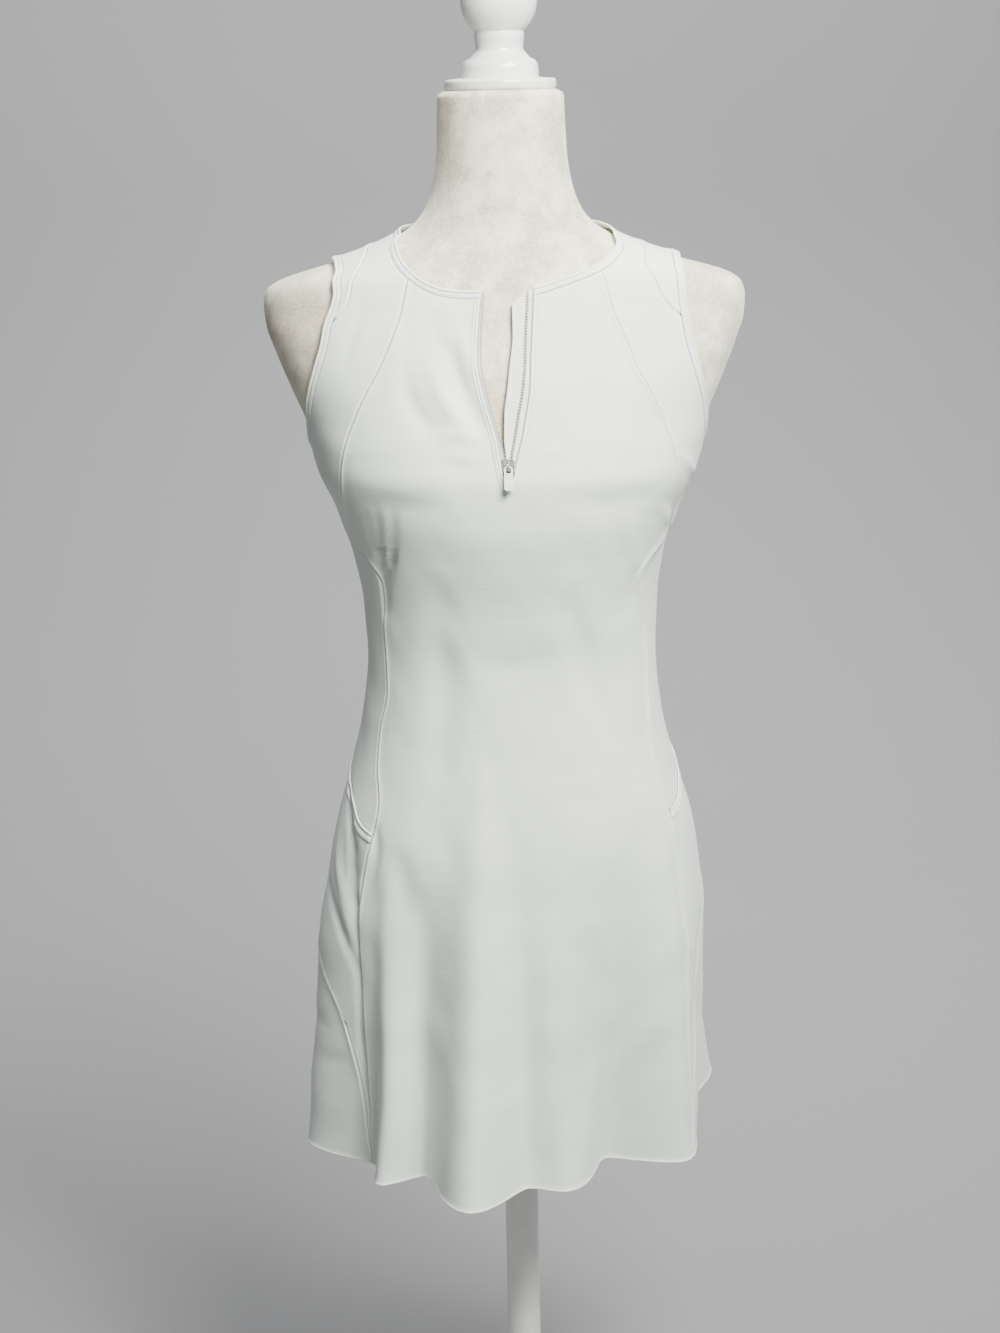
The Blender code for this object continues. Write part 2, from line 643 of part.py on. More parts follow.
def front_heights(sides):
    """The heights of the front's rows at its middle, for each side, and the row where the zip ends."""
    outers = [front_outer(side) for side in sides]
    level = (outers[0][:, 1] + outers[1][:, 1]) / 2
    zip_row = int(np.argmin(np.abs(level - ZIP_BOTTOM)))
    below = HEM + (ZIP_BOTTOM - HEM) * (level[zip_row:] - HEM) / (level[zip_row] - HEM)
    descent = (level[:zip_row] - level[zip_row]) / (level[0] - level[zip_row])
    tops = [neck_line(side.neck_front, PANEL_INSET)[0, 1] for side in sides]
    return [np.concatenate([ZIP_BOTTOM + (top - ZIP_BOTTOM) * descent, below]) for top in tops], zip_row


def front_center(sides, finish, collection):
    all_heights, zip_row = front_heights(sides)
    halves = []
    for side, heights in zip(sides, all_heights):
        outer = front_outer(side)
        crown = neck_line(side.neck_front, PANEL_INSET)
        inner = np.stack([zip_edge(side.zip_column, heights), heights], axis=1)
        inner[: zip_row + 1] = half_gap(inner[: zip_row + 1], (side.sign * 40.0, 1.15))
        inner[zip_row:] = np.stack([np.zeros(len(heights) - zip_row), heights[zip_row:]], axis=1)
        inner[0, 1] = crown[0, 1]
        crown[0] = inner[0]
        crown[-1] = outer[0]
        halves.append(on_dress(ruled(inner, outer, FRONT_COLUMNS, crown)))
    return cloth_solid("front_center", halves, CLOTH, finish, collection)


def armhole_panel(side, finish, collection):
    """From the neck's end of the shoulder seam, over the shoulder and down to the side panel's tip."""
    middle = (side.sign * 60.0, 1.15)
    outer = half_gap(side.shoulder_and_arm(), middle)
    neck = neck_line(side.neck_shoulder, PANEL_INSET)[::-1]
    inner = np.concatenate([neck[:-1], half_gap(side.princess, middle)])
    inner[0] = outer[0]
    inner[-1] = outer[-1] = inside_corner(side.princess[::-1], side.side_seam()[::-1], SEAM_GAP / 2)
    grid = ruled(inner, outer, ARMHOLE_COLUMNS)
    return cloth_solid(f"front_side_{side.name}", [on_dress(grid)], CLOTH, finish, collection)


def back_outer(side):
    arm = np.concatenate([side.arm_panel, side.arm_panel[:1]])[side.tip:]
    below = np.concatenate([side.side_seam()[1:], side.side_back[1:], side.low_back[1:], side.hem_front[1:]])
    outer = half_gap(np.concatenate([arm, below]), (side.sign * 180.0, 1.0))
    outer[-1, 1] = HEM
    return outer


def back_panel(sides, finish, collection):
    outers = [back_outer(side) for side in sides]
    under_arm = ARM_STEPS - SHOULDER_FOOT
    neck_end = SHOULDER_STEPS + NECK_BACK_STEPS
    necks = [neck_line(side.neck_behind, PANEL_INSET) for side in sides]
    top = (necks[0][-1, 1] + necks[1][-1, 1]) / 2
    level = (outers[0][:, 1] + outers[1][:, 1]) / 2
    upper = np.linspace(top, level[under_arm], under_arm - neck_end + 1)
    heights = np.concatenate([upper, level[under_arm + 1:]])
    thin_rows = int(np.argmax(level < BACK_FULL_BELOW))
    halves = []
    for side, outer, neck in zip(sides, outers, necks):
        shoulder = half_gap(side.shoulder, side.arm_middle)
        middle = np.stack([np.full_like(heights, side.sign * 180.0), heights], axis=1)
        inner = np.concatenate([shoulder, neck[1:-1], middle])
        halves.append(on_dress(ruled(inner, outer, BACK_COLUMNS)))
    return cloth_solid("back", halves, CLOTH, finish, collection, thin_rows)


def pocket_mouth(side, down):
    """Rows from the front seam to the back seam, a distance below the mouth's edge."""
    mouth = resampled(POCKETS[side.name], POCKET_STEPS + 1)
    if down == 0.0:
        return mouth
    moved = beside(mouth, down, (mouth[POCKET_STEPS // 2, 0], 0.6))
    for end, kind in ((0, "low_front"), (-1, "low_back")):
        moved[end, 0] = smooth_rows(SEAMS[f"{kind}_{side.name}"][::-1], moved[end, 1])[0]
    return moved


def side_panel(side, finish, collection):
    middle = (side.sign * 86.0, 0.90)
    front = half_gap(side.side_front, middle)
    behind = half_gap(side.side_back, middle)
    front[0] = behind[0] = inside_corner(side.side_front, side.side_back, SEAM_GAP / 2)
    mouth = pocket_mouth(side, 0.0)
    foot = beside(mouth, SEAM_GAP, middle)
    foot[0, 0] = front[-1, 0]
    foot[-1, 0] = behind[-1, 0]
    front[-1] = foot[0]
    behind[-1] = foot[-1]
    grid = ruled(front[::-1], behind[::-1], POCKET_STEPS, foot)
    return cloth_solid(f"side_{side.name}", [on_dress(grid)], CLOTH, finish, collection)


def skirt_side_panel(side, finish, collection):
    middle = (side.sign * 84.0, 0.72)
    front = half_gap(side.low_front, middle)
    behind = half_gap(side.low_back, middle)
    crown = pocket_mouth(side, POCKET_BINDING_WIDTH + SEAM_GAP)
    crown[0, 0] = smooth_ends(side, "low_front", crown[0, 1], middle)
    crown[-1, 0] = smooth_ends(side, "low_back", crown[-1, 1], middle)
    front[0] = crown[0]
    behind[0] = crown[-1]
    grid = ruled(front, behind, POCKET_STEPS, crown)
    return cloth_solid(f"skirt_side_{side.name}", [on_dress(grid)], CLOTH, finish, collection)


def smooth_ends(side, kind, height, middle):
    """Half a gap inside a seam at one height."""
    around = smooth_rows(SEAMS[f"{kind}_{side.name}"][::-1], [height + 0.002, height, height - 0.002])[:, 0]
    path = np.stack([around, [height + 0.002, height, height - 0.002]], axis=1)
    return half_gap(path, middle)[1, 0]


# Bindings
def strip(name, edges, finish, collection, closed=False):
    """A narrow raised band between two edges that have the same number of rows."""
    grid = np.stack(edges, axis=1)
    if closed:
        grid = np.concatenate([grid, grid[:1]])
    return cloth_solid(name, [on_dress(grid, BINDING_RAISE)], BINDING, finish, collection)


def neck_binding(side, finish, collection):
    stations = np.concatenate([side.neck_front, side.neck_shoulder[1:], side.neck_behind[1:]])
    stations[0] += side.sign * half_gap_turn(stations[0])
    stations[-1] -= side.sign * half_gap_turn(stations[-1])
    edges = [neck_line(stations, 0.0), neck_line(stations, BINDING_WIDTH)]
    for edge in edges:
        edge[0, 0] = zip_edge(side.zip_column, edge[0, 1]) + side.sign * half_gap_turn(stations[0])
    return strip(f"neck_binding_{side.name}", edges, finish, collection)


def half_gap_turn(around):
    """Half a seam gap at the neck's edge, in degrees."""
    angles, heights = zip(*NECK_EDGE)
    radius = np.linalg.norm(dress_point(around, smooth_around(angles, heights, around))[:2])
    return math.degrees(SEAM_GAP / 2 / radius)


def armhole_binding(side, finish, collection):
    edges = [side.arm_edge, side.arm_strip(BINDING_WIDTH)]
    return strip(f"armhole_binding_{side.name}", edges, finish, collection, closed=True)


def pocket_binding(side, finish, collection):
    middle = (side.sign * 86.0, 0.78)
    edges = [pocket_mouth(side, 0.0), pocket_mouth(side, POCKET_BINDING_WIDTH)]
    for edge in edges:
        edge[0, 0] = smooth_ends(side, "low_front", edge[0, 1], middle)
        edge[-1, 0] = smooth_ends(side, "low_back", edge[-1, 1], middle)
    return strip(f"pocket_binding_{side.name}", edges, finish, collection)


# The zip
def zip_strip(name, first, last, heights, out, finish, collection, lean=0.0):
    """A strip between two columns of ZIP_EDGES; its top end may lean down on the first edge."""
    lowered = heights - lean * np.linspace(1.0, 0.0, len(heights))
    edges = []
    for column, levels, aim in ((first, lowered, 90.0), (last, heights, -90.0)):
        path = np.stack([zip_edge(column, levels), levels], axis=1)
        edges.append(half_gap(path, (aim, 1.15)))
    return cloth_solid(name, [on_dress(np.stack(edges, axis=1), out)], TAPE, finish, collection)


def zip_strips(sides, finish, collection):
    low = SLIDER_HEIGHT - SLIDER_LENGTH / 2
    high = SLIDER_HEIGHT + SLIDER_LENGTH / 2
    all_heights, zip_row = front_heights(sides)
    tapes = []
    for heights in all_heights:
        rows = heights[:zip_row]
        tapes.append(np.concatenate([[ZIP_TOP], rows[rows > low + 0.003], [low]]))
    zip_strip("zip_tape_left", 1, 3, tapes[0], -0.0001, finish, collection)
    zip_strip("zip_tape_right", 4, 2, tapes[1], -0.0001, finish, collection)
    guard = np.concatenate([tapes[1][tapes[1] > high + 0.003], [high]])
    zip_strip("zip_guard", 5, 4, guard, -0.0003, finish, collection, lean=GUARD_LEAN)


def slider_frame():
    """Where the slider's middle rests on the cloth, and the lean of the cloth there."""
    point = dress_point(0.0, SLIDER_HEIGHT)
    normal = dress_normal(np.array(0.0), np.array(SLIDER_HEIGHT))
    return point, -math.atan2(normal[2], -normal[1])


def zip_slider(finish, collection):
    point, lean = slider_frame()
    body = bmesh.new()
    bmesh.ops.create_cube(body, size=1.0)
    for corner in body.verts:
        narrow = SLIDER_FOOT_WIDTH if corner.co.z < 0 else SLIDER_WIDTH
        corner.co.x *= narrow
        corner.co.y = -(SEAM_GAP + SLIDER_THICKNESS * (0.5 - corner.co.y))
        corner.co.z *= SLIDER_LENGTH
    mesh = bpy.data.meshes.new("zip_slider")
    body.to_mesh(mesh)
    body.free()
    slider = add_object("zip_slider", mesh, finish, collection)
    slider.location = point
    slider.rotation_euler = (lean, 0.0, 0.0)
    rounded = slider.modifiers.new("rounded", "BEVEL")
    rounded.width = SLIDER_ROUNDING
    rounded.segments = 2
    return slider


def solid_from_curve(curve):
    """One closed mesh from a curve, welded where its caps meet its walls."""
    holder = bpy.data.objects.new(curve.name, curve)
    bpy.context.scene.collection.objects.link(holder)
    bpy.context.view_layer.update()
    mesh = bpy.data.meshes.new_from_object(holder.evaluated_get(bpy.context.evaluated_depsgraph_get()))
    bpy.data.objects.remove(holder)
    welded = bmesh.new()
    welded.from_mesh(mesh)
    bmesh.ops.remove_doubles(welded, verts=welded.verts, dist=0.00001)
    bmesh.ops.recalc_face_normals(welded, faces=welded.faces)
    welded.to_mesh(mesh)
    welded.free()
    return mesh


def bail_mesh():
    """The arch that carries the pull, as a tube in the slider's middle plane."""
    curve = bpy.data.curves.new("bail", "CURVE")
    curve.dimensions = "3D"
    curve.bevel_depth = BAIL_RADIUS
    curve.bevel_resolution = 1
    curve.use_fill_caps = True
    spline = curve.splines.new("POLY")
    spline.points.add(BAIL_STEPS)
    half = (BAIL_TOP_END - BAIL_LOW_END) / 2
    middle = (BAIL_TOP_END + BAIL_LOW_END) / 2
    foot = SLIDER_THICKNESS / 2
    for index, spot in enumerate(spline.points):
        turn = math.pi * index / BAIL_STEPS
        rise = (BAIL_HEIGHT - foot) * math.sin(turn) ** BAIL_SQUARENESS
        spot.co = (0.0, -(foot + rise), middle + half * math.cos(turn), 1.0)
    return solid_from_curve(curve)


def join_bail(slider, helpers):
    bail = bpy.data.objects.new("bail", bail_mesh())
    bail.location = slider.location
    bail.rotation_euler = slider.rotation_euler
    bail.hide_render = True
    bail.display_type = "WIRE"
    helpers.objects.link(bail)
    union = slider.modifiers.new("bail", "BOOLEAN")
    union.operation = "UNION"
    union.solver = "EXACT"
    union.object = bail


def rounded_outline(spline, left, right, low, high, radius, steps=4):
    corners = []
    for centre_x, centre_y, start in (
        (right - radius, high - radius, 0.0),
        (left + radius, high - radius, 0.5),
        (left + radius, low + radius, 1.0),
        (right - radius, low + radius, 1.5),
    ):
        for index in range(steps + 1):
            turn = math.pi * (start + 0.5 * index / steps)
            corners.append((centre_x + radius * math.cos(turn), centre_y + radius * math.sin(turn)))
    spline.points.add(len(corners) - 1)
    for spot, corner in zip(spline.points, corners):
        spot.co = (*corner, 0.0, 1.0)
    spline.use_cyclic_u = True


def zip_pull(finish, collection):
    """The tab, a plate with an eye round the bail. Its origin is on the hinge's axis."""
    curve = bpy.data.curves.new("zip_pull", "CURVE")
    curve.dimensions = "2D"
    curve.fill_mode = "BOTH"
    curve.extrude = PULL_THICKNESS / 2
    half = PULL_WIDTH / 2
    bar = PULL_THICKNESS / 2
    eye = EYE_WIDTH / 2
    rounded_outline(curve.splines.new("POLY"), -half, half, bar - PULL_LENGTH, bar, PULL_ROUNDING)
    rounded_outline(curve.splines.new("POLY"), -eye, eye, -bar - EYE_LENGTH, -bar, EYE_ROUNDING)
    pull = add_object("zip_pull", solid_from_curve(curve), finish, collection)
    point, lean = slider_frame()
    sine = math.sin(lean)
    cosine = math.cos(lean)
    pull.location = (
        point[0],
        point[1] - PIVOT_OUT * cosine - PIVOT_UP * sine,
        point[2] - PIVOT_OUT * sine + PIVOT_UP * cosine,
    )
    pull.rotation_euler = (math.pi / 2 + lean, 0.0, 0.0)
    return pull


# The dress form
def form_torso(finish, collection):
    heights = sorted({row[0] for row in FIGURE} | set(FIGURE_BETWEEN))
    columns = FIGURE_COLUMNS
    turn = np.linspace(0.0, 2 * math.pi, columns, endpoint=False)
    around = np.degrees(np.arctan2(FIGURE_SPREAD * np.sin(turn), np.cos(turn)))
    body = bmesh.new()
    rings = []
    for height in heights:
        points = figure_point(around, np.full(columns, height))
        rings.append([body.verts.new(point) for point in points])
    for low, high in zip(rings[:-1], rings[1:]):
        for index in range(columns):
            after = (index + 1) % columns
            body.faces.new((low[index], low[after], high[after], high[index]))
    body.faces.new(rings[0][::-1])
    body.faces.new(rings[-1])
    mesh = bpy.data.meshes.new("form_torso")
    body.to_mesh(mesh)
    body.free()
    mesh.shade_smooth()
    mesh.set_sharp_from_angle(angle=math.radians(40))
    return add_object("form_torso", mesh, finish, collection)


def turned(name, profile, steps, finish, collection):
    """A solid of revolution about Z. The profile runs down the outside, from axis to axis."""
    mesh = bpy.data.meshes.new(name)
    points = [(radius, 0.0, height) for radius, height in profile]
    mesh.from_pydata(points, [(index, index + 1) for index in range(len(points) - 1)], [])
    piece = add_object(name, mesh, finish, collection)
    screw = piece.modifiers.new("turn", "SCREW")
    screw.axis = "Z"
    screw.steps = steps
    screw.render_steps = steps
    screw.use_merge_vertices = True
    screw.merge_threshold = 0.0001
    screw.use_smooth_shade = True
    return piece


def arc(radius, height, size, start, stop, count):
    """Points of a profile on a circle, from one angle to another."""
    turns = np.radians(np.linspace(start, stop, count))
    return [(radius + size * math.cos(turn), height + size * math.sin(turn)) for turn in turns]


def form_cap(finish, collection):
    foot = NECK_TOP + SEAM_GAP
    ball = arc(0.0, foot + BALL_HEIGHT, BALL_RADIUS, 90.0, -50.0, 10)
    ball[0] = (0.0, foot + BALL_HEIGHT + BALL_RADIUS)
    stem = [(STEM_RADIUS, foot + 0.0435), (STEM_RADIUS - 0.001, foot + 0.036), (STEM_RADIUS + 0.001, foot + 0.0285)]
    dome = arc(DOME_RADIUS - 0.009, foot + 0.0175, 0.009, 75.0, 0.0, 5) + [(DOME_RADIUS, foot + 0.0105)]
    plate = arc(PLATE_RADIUS - 0.003, foot + 0.0062, 0.003, 90.0, 0.0, 4)
    plate += arc(PLATE_RADIUS - 0.003, foot + 0.0030, 0.003, 0.0, -90.0, 4) + [(0.0, foot)]
    return turned("form_cap", ball + stem + dome + plate, 20, finish, collection)


def form_pole(finish, collection):
    low = BASE_THICKNESS + BOSS_HEIGHT + SEAM_GAP
    high = TORSO_BOTTOM - SEAM_GAP
    profile = [(0.0, high), (POLE_RADIUS, high), (POLE_RADIUS, low), (0.0, low)]
    return turned("form_pole", profile, 20, finish, collection)


def form_base(finish, collection):
    edge = 0.004
    top = BASE_THICKNESS
    profile = [(0.0, top + BOSS_HEIGHT)]
    profile += arc(BOSS_RADIUS - 0.003, top + BOSS_HEIGHT - 0.003, 0.003, 90.0, 0.0, 4)
    profile += [(BOSS_RADIUS, top)]
    profile += arc(BASE_RADIUS - edge, top - edge, edge, 90.0, 0.0, 5)
    profile += [(BASE_RADIUS, 0.0015), (BASE_RADIUS - 0.0015, 0.0), (0.0, 0.0)]
    return turned("form_base", profile, 32, finish, collection)


def clear_scene():
    for piece in list(bpy.data.objects):
        bpy.data.objects.remove(piece)


def main():
    clear_scene()
    collection = bpy.data.collections.new(NAME)
    helpers = bpy.data.collections.new("cutters")
    bpy.context.scene.collection.children.link(collection)
    bpy.context.scene.collection.children.link(helpers)
    cloth = material("dress_cloth", CLOTH_WHITE, 0.75)
    binding = material("binding_cloth", CLOTH_WHITE, 0.7)
    cover = material("form_cover", FORM_CREAM, 0.85)
    gloss = material("form_gloss", GLOSS_WHITE, 0.2)
    chrome = material("zip_metal", CHROME, 0.25, 1.0)
    tab = material("zip_tab", TAB_WHITE, 0.4)

    sides = [Side("left"), Side("right")]
    front_center(sides, cloth, collection)
    back_panel(sides, cloth, collection)
    for side in sides:
        armhole_panel(side, cloth, collection)
        side_panel(side, cloth, collection)
        skirt_side_panel(side, cloth, collection)
        neck_binding(side, binding, collection)
        armhole_binding(side, binding, collection)
        pocket_binding(side, binding, collection)
    zip_strips(sides, cloth, collection)
    slider = zip_slider(chrome, collection)
    join_bail(slider, helpers)
    zip_pull(tab, collection)
    form_torso(cover, collection)
    form_cap(gloss, collection)
    form_pole(gloss, collection)
    form_base(gloss, collection)


main()
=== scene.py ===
import math

import bmesh
import bpy
import mathutils
import numpy as np
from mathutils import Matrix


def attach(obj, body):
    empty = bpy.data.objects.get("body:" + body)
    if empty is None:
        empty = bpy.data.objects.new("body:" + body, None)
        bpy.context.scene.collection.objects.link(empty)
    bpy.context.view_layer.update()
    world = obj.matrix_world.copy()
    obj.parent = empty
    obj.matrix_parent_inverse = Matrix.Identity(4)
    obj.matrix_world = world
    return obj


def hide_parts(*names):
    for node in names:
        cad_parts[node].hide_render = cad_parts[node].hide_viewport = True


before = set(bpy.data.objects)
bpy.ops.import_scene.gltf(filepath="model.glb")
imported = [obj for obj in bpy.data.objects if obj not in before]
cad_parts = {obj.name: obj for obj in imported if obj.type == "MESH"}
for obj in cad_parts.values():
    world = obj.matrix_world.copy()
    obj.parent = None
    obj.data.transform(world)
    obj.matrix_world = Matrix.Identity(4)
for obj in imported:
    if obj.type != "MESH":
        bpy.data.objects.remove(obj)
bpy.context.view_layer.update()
print("frame loaded")

# The dress
dress = {
    "hem": 0.4365,
    "cloth": 0.0012,
    "wall": 0.0010,  # of the shells made here
    "bindingWall": 0.0014,
    "pocketBindingWidth": 0.0090,
    "seamGap": 0.00008,
    "panelInset": 0.0075,  # from an opening's edge to the panel
    "zipTop": 1.2360,
    "zipBottom": 1.0735,
    "flutePower": 1.5,
    "seamDepth": 0.0006,  # of the dip along a seam
    "boundDepth": 0.0002,  # of the dip along a binding
    "seamReach": 0.0010,
    "seamRidge": 0.0008,  # of the allowance that shows beside it
    "ridgeReach": 0.0022,
}
# Rows and columns of the panels' grids
steps = {
    "side": 25,
    "side_front": 75,
    "low_front": 80,
    "hem_front": 6,
    "shoulder": 35,
    "foot": 50,
    "arm": 160,
    "neckShoulder": 30,
    "neckBack": 35,
    "front": 50,
    "back": 60,
    "armhole": 30,
    "pocket": 34,
}
# Sections of the bare form: half width, depth to the front and to the back,
# and how square each half is (2 is an ellipse)
figureSections = (
    # height, halfWidth, front, back, squareFront, squareBack
    (0.655, 0.1550, 0.1045, 0.1055, 2.2, 2.2),
    (0.700, 0.1640, 0.1110, 0.1120, 2.2, 2.2),
    (0.750, 0.1560, 0.1080, 0.1060, 2.2, 2.2),
    (0.800, 0.1420, 0.1010, 0.0930, 2.2, 2.2),
    (0.850, 0.1300, 0.0940, 0.0810, 2.2, 2.2),
    (0.900, 0.1245, 0.0900, 0.0750, 2.2, 2.2),
    (0.950, 0.1260, 0.0940, 0.0760, 2.2, 2.2),
    (1.000, 0.1330, 0.1060, 0.0820, 2.3, 2.2),
    (1.040, 0.1450, 0.1170, 0.0870, 2.4, 2.2),
    (1.075, 0.1615, 0.1220, 0.0910, 2.5, 2.2),
    (1.100, 0.1685, 0.1180, 0.0930, 2.5, 2.2),
    (1.120, 0.1770, 0.1130, 0.0950, 2.4, 2.2),
    (1.150, 0.1900, 0.1050, 0.0960, 2.3, 2.2),
    (1.180, 0.2020, 0.0960, 0.0940, 2.2, 2.2),
    (1.205, 0.2100, 0.0880, 0.0900, 2.1, 2.1),
    (1.222, 0.2115, 0.0830, 0.0860, 2.0, 2.0),
    (1.234, 0.2080, 0.0790, 0.0820, 2.0, 2.0),
    (1.242, 0.1970, 0.0765, 0.0795, 2.0, 2.0),
    (1.248, 0.1790, 0.0740, 0.0775, 2.0, 2.0),
    (1.255, 0.1540, 0.0710, 0.0750, 2.0, 2.0),
    (1.264, 0.1250, 0.0675, 0.0710, 2.0, 2.0),
    (1.275, 0.0980, 0.0635, 0.0665, 2.0, 2.0),
    (1.287, 0.0790, 0.0595, 0.0625, 2.0, 2.0),
    (1.302, 0.0675, 0.0565, 0.0585, 2.0, 2.0),
    (1.322, 0.0605, 0.0545, 0.0555, 2.0, 2.0),
    (1.350, 0.0565, 0.0535, 0.0540, 2.0, 2.0),
    (1.400, 0.0545, 0.0530, 0.0530, 2.0, 2.0),
)
# From the armholes up the cloth follows the form: how far its outside lies from
# the bare form, least where it rests on the shoulders
easeRows = (
    # height, ease
    (1.120, 0.0045),
    (1.180, 0.0042),
    (1.215, 0.0036),
    (1.235, 0.0032),
    (1.300, 0.0030),
)

# Sections of the dress below the armholes, before its flutes
bodySections = (
    # height, halfWidth, front, back, squareFront, squareBack
    (0.420, 0.1900, 0.1180, 0.1420, 2.1, 2.2),
    (0.510, 0.1875, 0.1180, 0.1380, 2.1, 2.2),
    (0.600, 0.1830, 0.1190, 0.1320, 2.2, 2.2),
    (0.660, 0.1795, 0.1200, 0.1270, 2.2, 2.2),
    (0.700, 0.1735, 0.1190, 0.1210, 2.2, 2.2),
    (0.750, 0.1640, 0.1160, 0.1140, 2.2, 2.2),
    (0.800, 0.1490, 0.1090, 0.1010, 2.2, 2.2),
    (0.850, 0.1370, 0.1020, 0.0890, 2.2, 2.2),
    (0.900, 0.1310, 0.0985, 0.0830, 2.2, 2.2),
    (0.950, 0.1325, 0.1040, 0.0840, 2.2, 2.2),
    (1.000, 0.1395, 0.1160, 0.0890, 2.3, 2.2),
    (1.040, 0.1520, 0.1260, 0.0930, 2.4, 2.2),
    (1.075, 0.1680, 0.1290, 0.0965, 2.5, 2.2),
    (1.100, 0.1745, 0.1235, 0.0980, 2.5, 2.2),
)

# Crests and troughs of the skirt: where each one is, how far from the axis it
# stands at the hem, and the height where it has faded out
flutes = (
    # name, around, hemRadius, top
    ("left side crest", -82.0, 0.204, 0.80),
    ("left pleat", -57.0, 0.160, 0.78),
    ("left front crest", -46.0, 0.183, 0.74),
    ("left front trough", -38.5, 0.141, 0.72),
    ("front crest", -15.0, 0.191, 0.84),
    ("middle trough", 3.0, 0.139, 0.76),
    ("middle crest", 16.0, 0.152, 0.76),
    ("right trough", 43.0, 0.112, 0.80),
    ("right crest", 61.0, 0.179, 0.84),
    ("right side", 84.0, 0.168, 0.78),
    ("right side trough", 101.0, 0.170, 0.78),
    ("right back crest", 126.0, 0.233, 0.82),
    ("right back trough", 146.0, 0.150, 0.78),
    ("back crest", 168.0, 0.200, 0.82),
    ("back trough", 188.0, 0.155, 0.78),
    ("left middle back crest", 210.0, 0.205, 0.82),
    ("left back trough", 233.0, 0.165, 0.78),
    ("left back crest", 256.0, 0.205, 0.80),
    ("left side trough", 267.0, 0.180, 0.78),
)

# Seams, from the top down
seamRows = {
    # name: rows of (height, around)
    "princess_left": (
        (1.255, -47.5), (1.213, -47.5), (1.176, -49.5), (1.148, -53.0), (1.124, -56.0),
        (1.100, -58.5), (1.070, -61.5), (1.045, -68.0), (1.022, -79.0),
    ),
    "princess_right": (
        (1.255, 50.0), (1.222, 48.5), (1.194, 49.5), (1.172, 50.5), (1.150, 53.0),
        (1.130, 55.5), (1.100, 59.0), (1.070, 63.0), (1.045, 68.5), (1.022, 77.0),
    ),
    "side_front_left": (
        (1.022, -79.0), (1.010, -68.5), (1.002, -63.0), (0.990, -59.5), (0.964, -60.5),
        (0.936, -62.5), (0.904, -63.0), (0.880, -62.5), (0.846, -65.0), (0.820, -63.5),
        (0.778, -58.5), (0.756, -59.0),
    ),
    "side_front_right": (
        (1.022, 77.0), (1.010, 67.5), (0.999, 61.5), (0.986, 58.0), (0.964, 62.0),
        (0.936, 67.5), (0.904, 69.5), (0.864, 68.0), (0.824, 65.5), (0.800, 65.0),
        (0.768, 66.5),
    ),
    "low_front_left": ((0.756, -59.0), (0.690, -62.0), (0.600, -61.0), (0.455, -59.8)),
    "low_front_right": ((0.768, 66.5), (0.724, 65.5), (0.660, 65.5), (0.570, 64.0), (0.455, 64.0)),
    "hem_front_left": ((0.455, -59.8), (dress["hem"], -59.5)),
    "hem_front_right": ((0.455, 64.0), (dress["hem"], 64.0)),
    "side_back_left": (
        (1.022, -79.0), (1.005, -93.0), (0.975, -101.0), (0.930, -106.0), (0.880, -109.0),
        (0.835, -113.0),
    ),
    "side_back_right": (
        (1.022, 77.0), (1.005, 92.0), (0.975, 101.0), (0.930, 106.0), (0.880, 109.0),
        (0.832, 113.0),
    ),
    "low_back_left": (
        (0.835, -113.0), (0.785, -114.0), (0.740, -111.0), (0.700, -103.0), (0.660, -90.0),
        (0.636, -82.5), (0.612, -76.0), (0.587, -69.5), (0.553, -65.5), (0.520, -63.0),
        (0.455, -60.3),
    ),
    "low_back_right": (
        (0.832, 113.0), (0.785, 114.0), (0.740, 109.0), (0.700, 97.0), (0.667, 84.0),
        (0.646, 77.0), (0.610, 72.0), (0.553, 68.5), (0.520, 67.0), (0.455, 64.5),
    ),
}

# The pocket mouths, from the corner on the front seam up and back
pocketRows = {
    # name: rows of (around, height)
    "left": (
        (-59.0, 0.756), (-64.0, 0.7605), (-72.0, 0.7785), (-84.5, 0.7965), (-98.0, 0.8150),
        (-113.0, 0.8350),
    ),
    "right": (
        (66.5, 0.768), (72.0, 0.7730), (80.0, 0.7850), (90.0, 0.8000), (101.0, 0.8160),
        (113.0, 0.8320),
    ),
}

# The opening of the neck, once round
neckEdge = (
    # around, height
    (-180.0, 1.2900), (-140.0, 1.2890), (-110.0, 1.2870), (-90.0, 1.2850), (-74.5, 1.2815),
    (-69.5, 1.2760), (-61.5, 1.2685), (-49.5, 1.2535), (-41.5, 1.2445), (-33.5, 1.2390),
    (-25.0, 1.2370), (-12.5, 1.2365), (0.0, 1.2365), (15.5, 1.2385), (29.5, 1.2440), (40.5, 1.2495),
    (52.0, 1.2570), (59.5, 1.2640), (69.0, 1.2720), (75.5, 1.2775), (90.0, 1.2830), (110.0, 1.2870),
    (140.0, 1.2890),
)
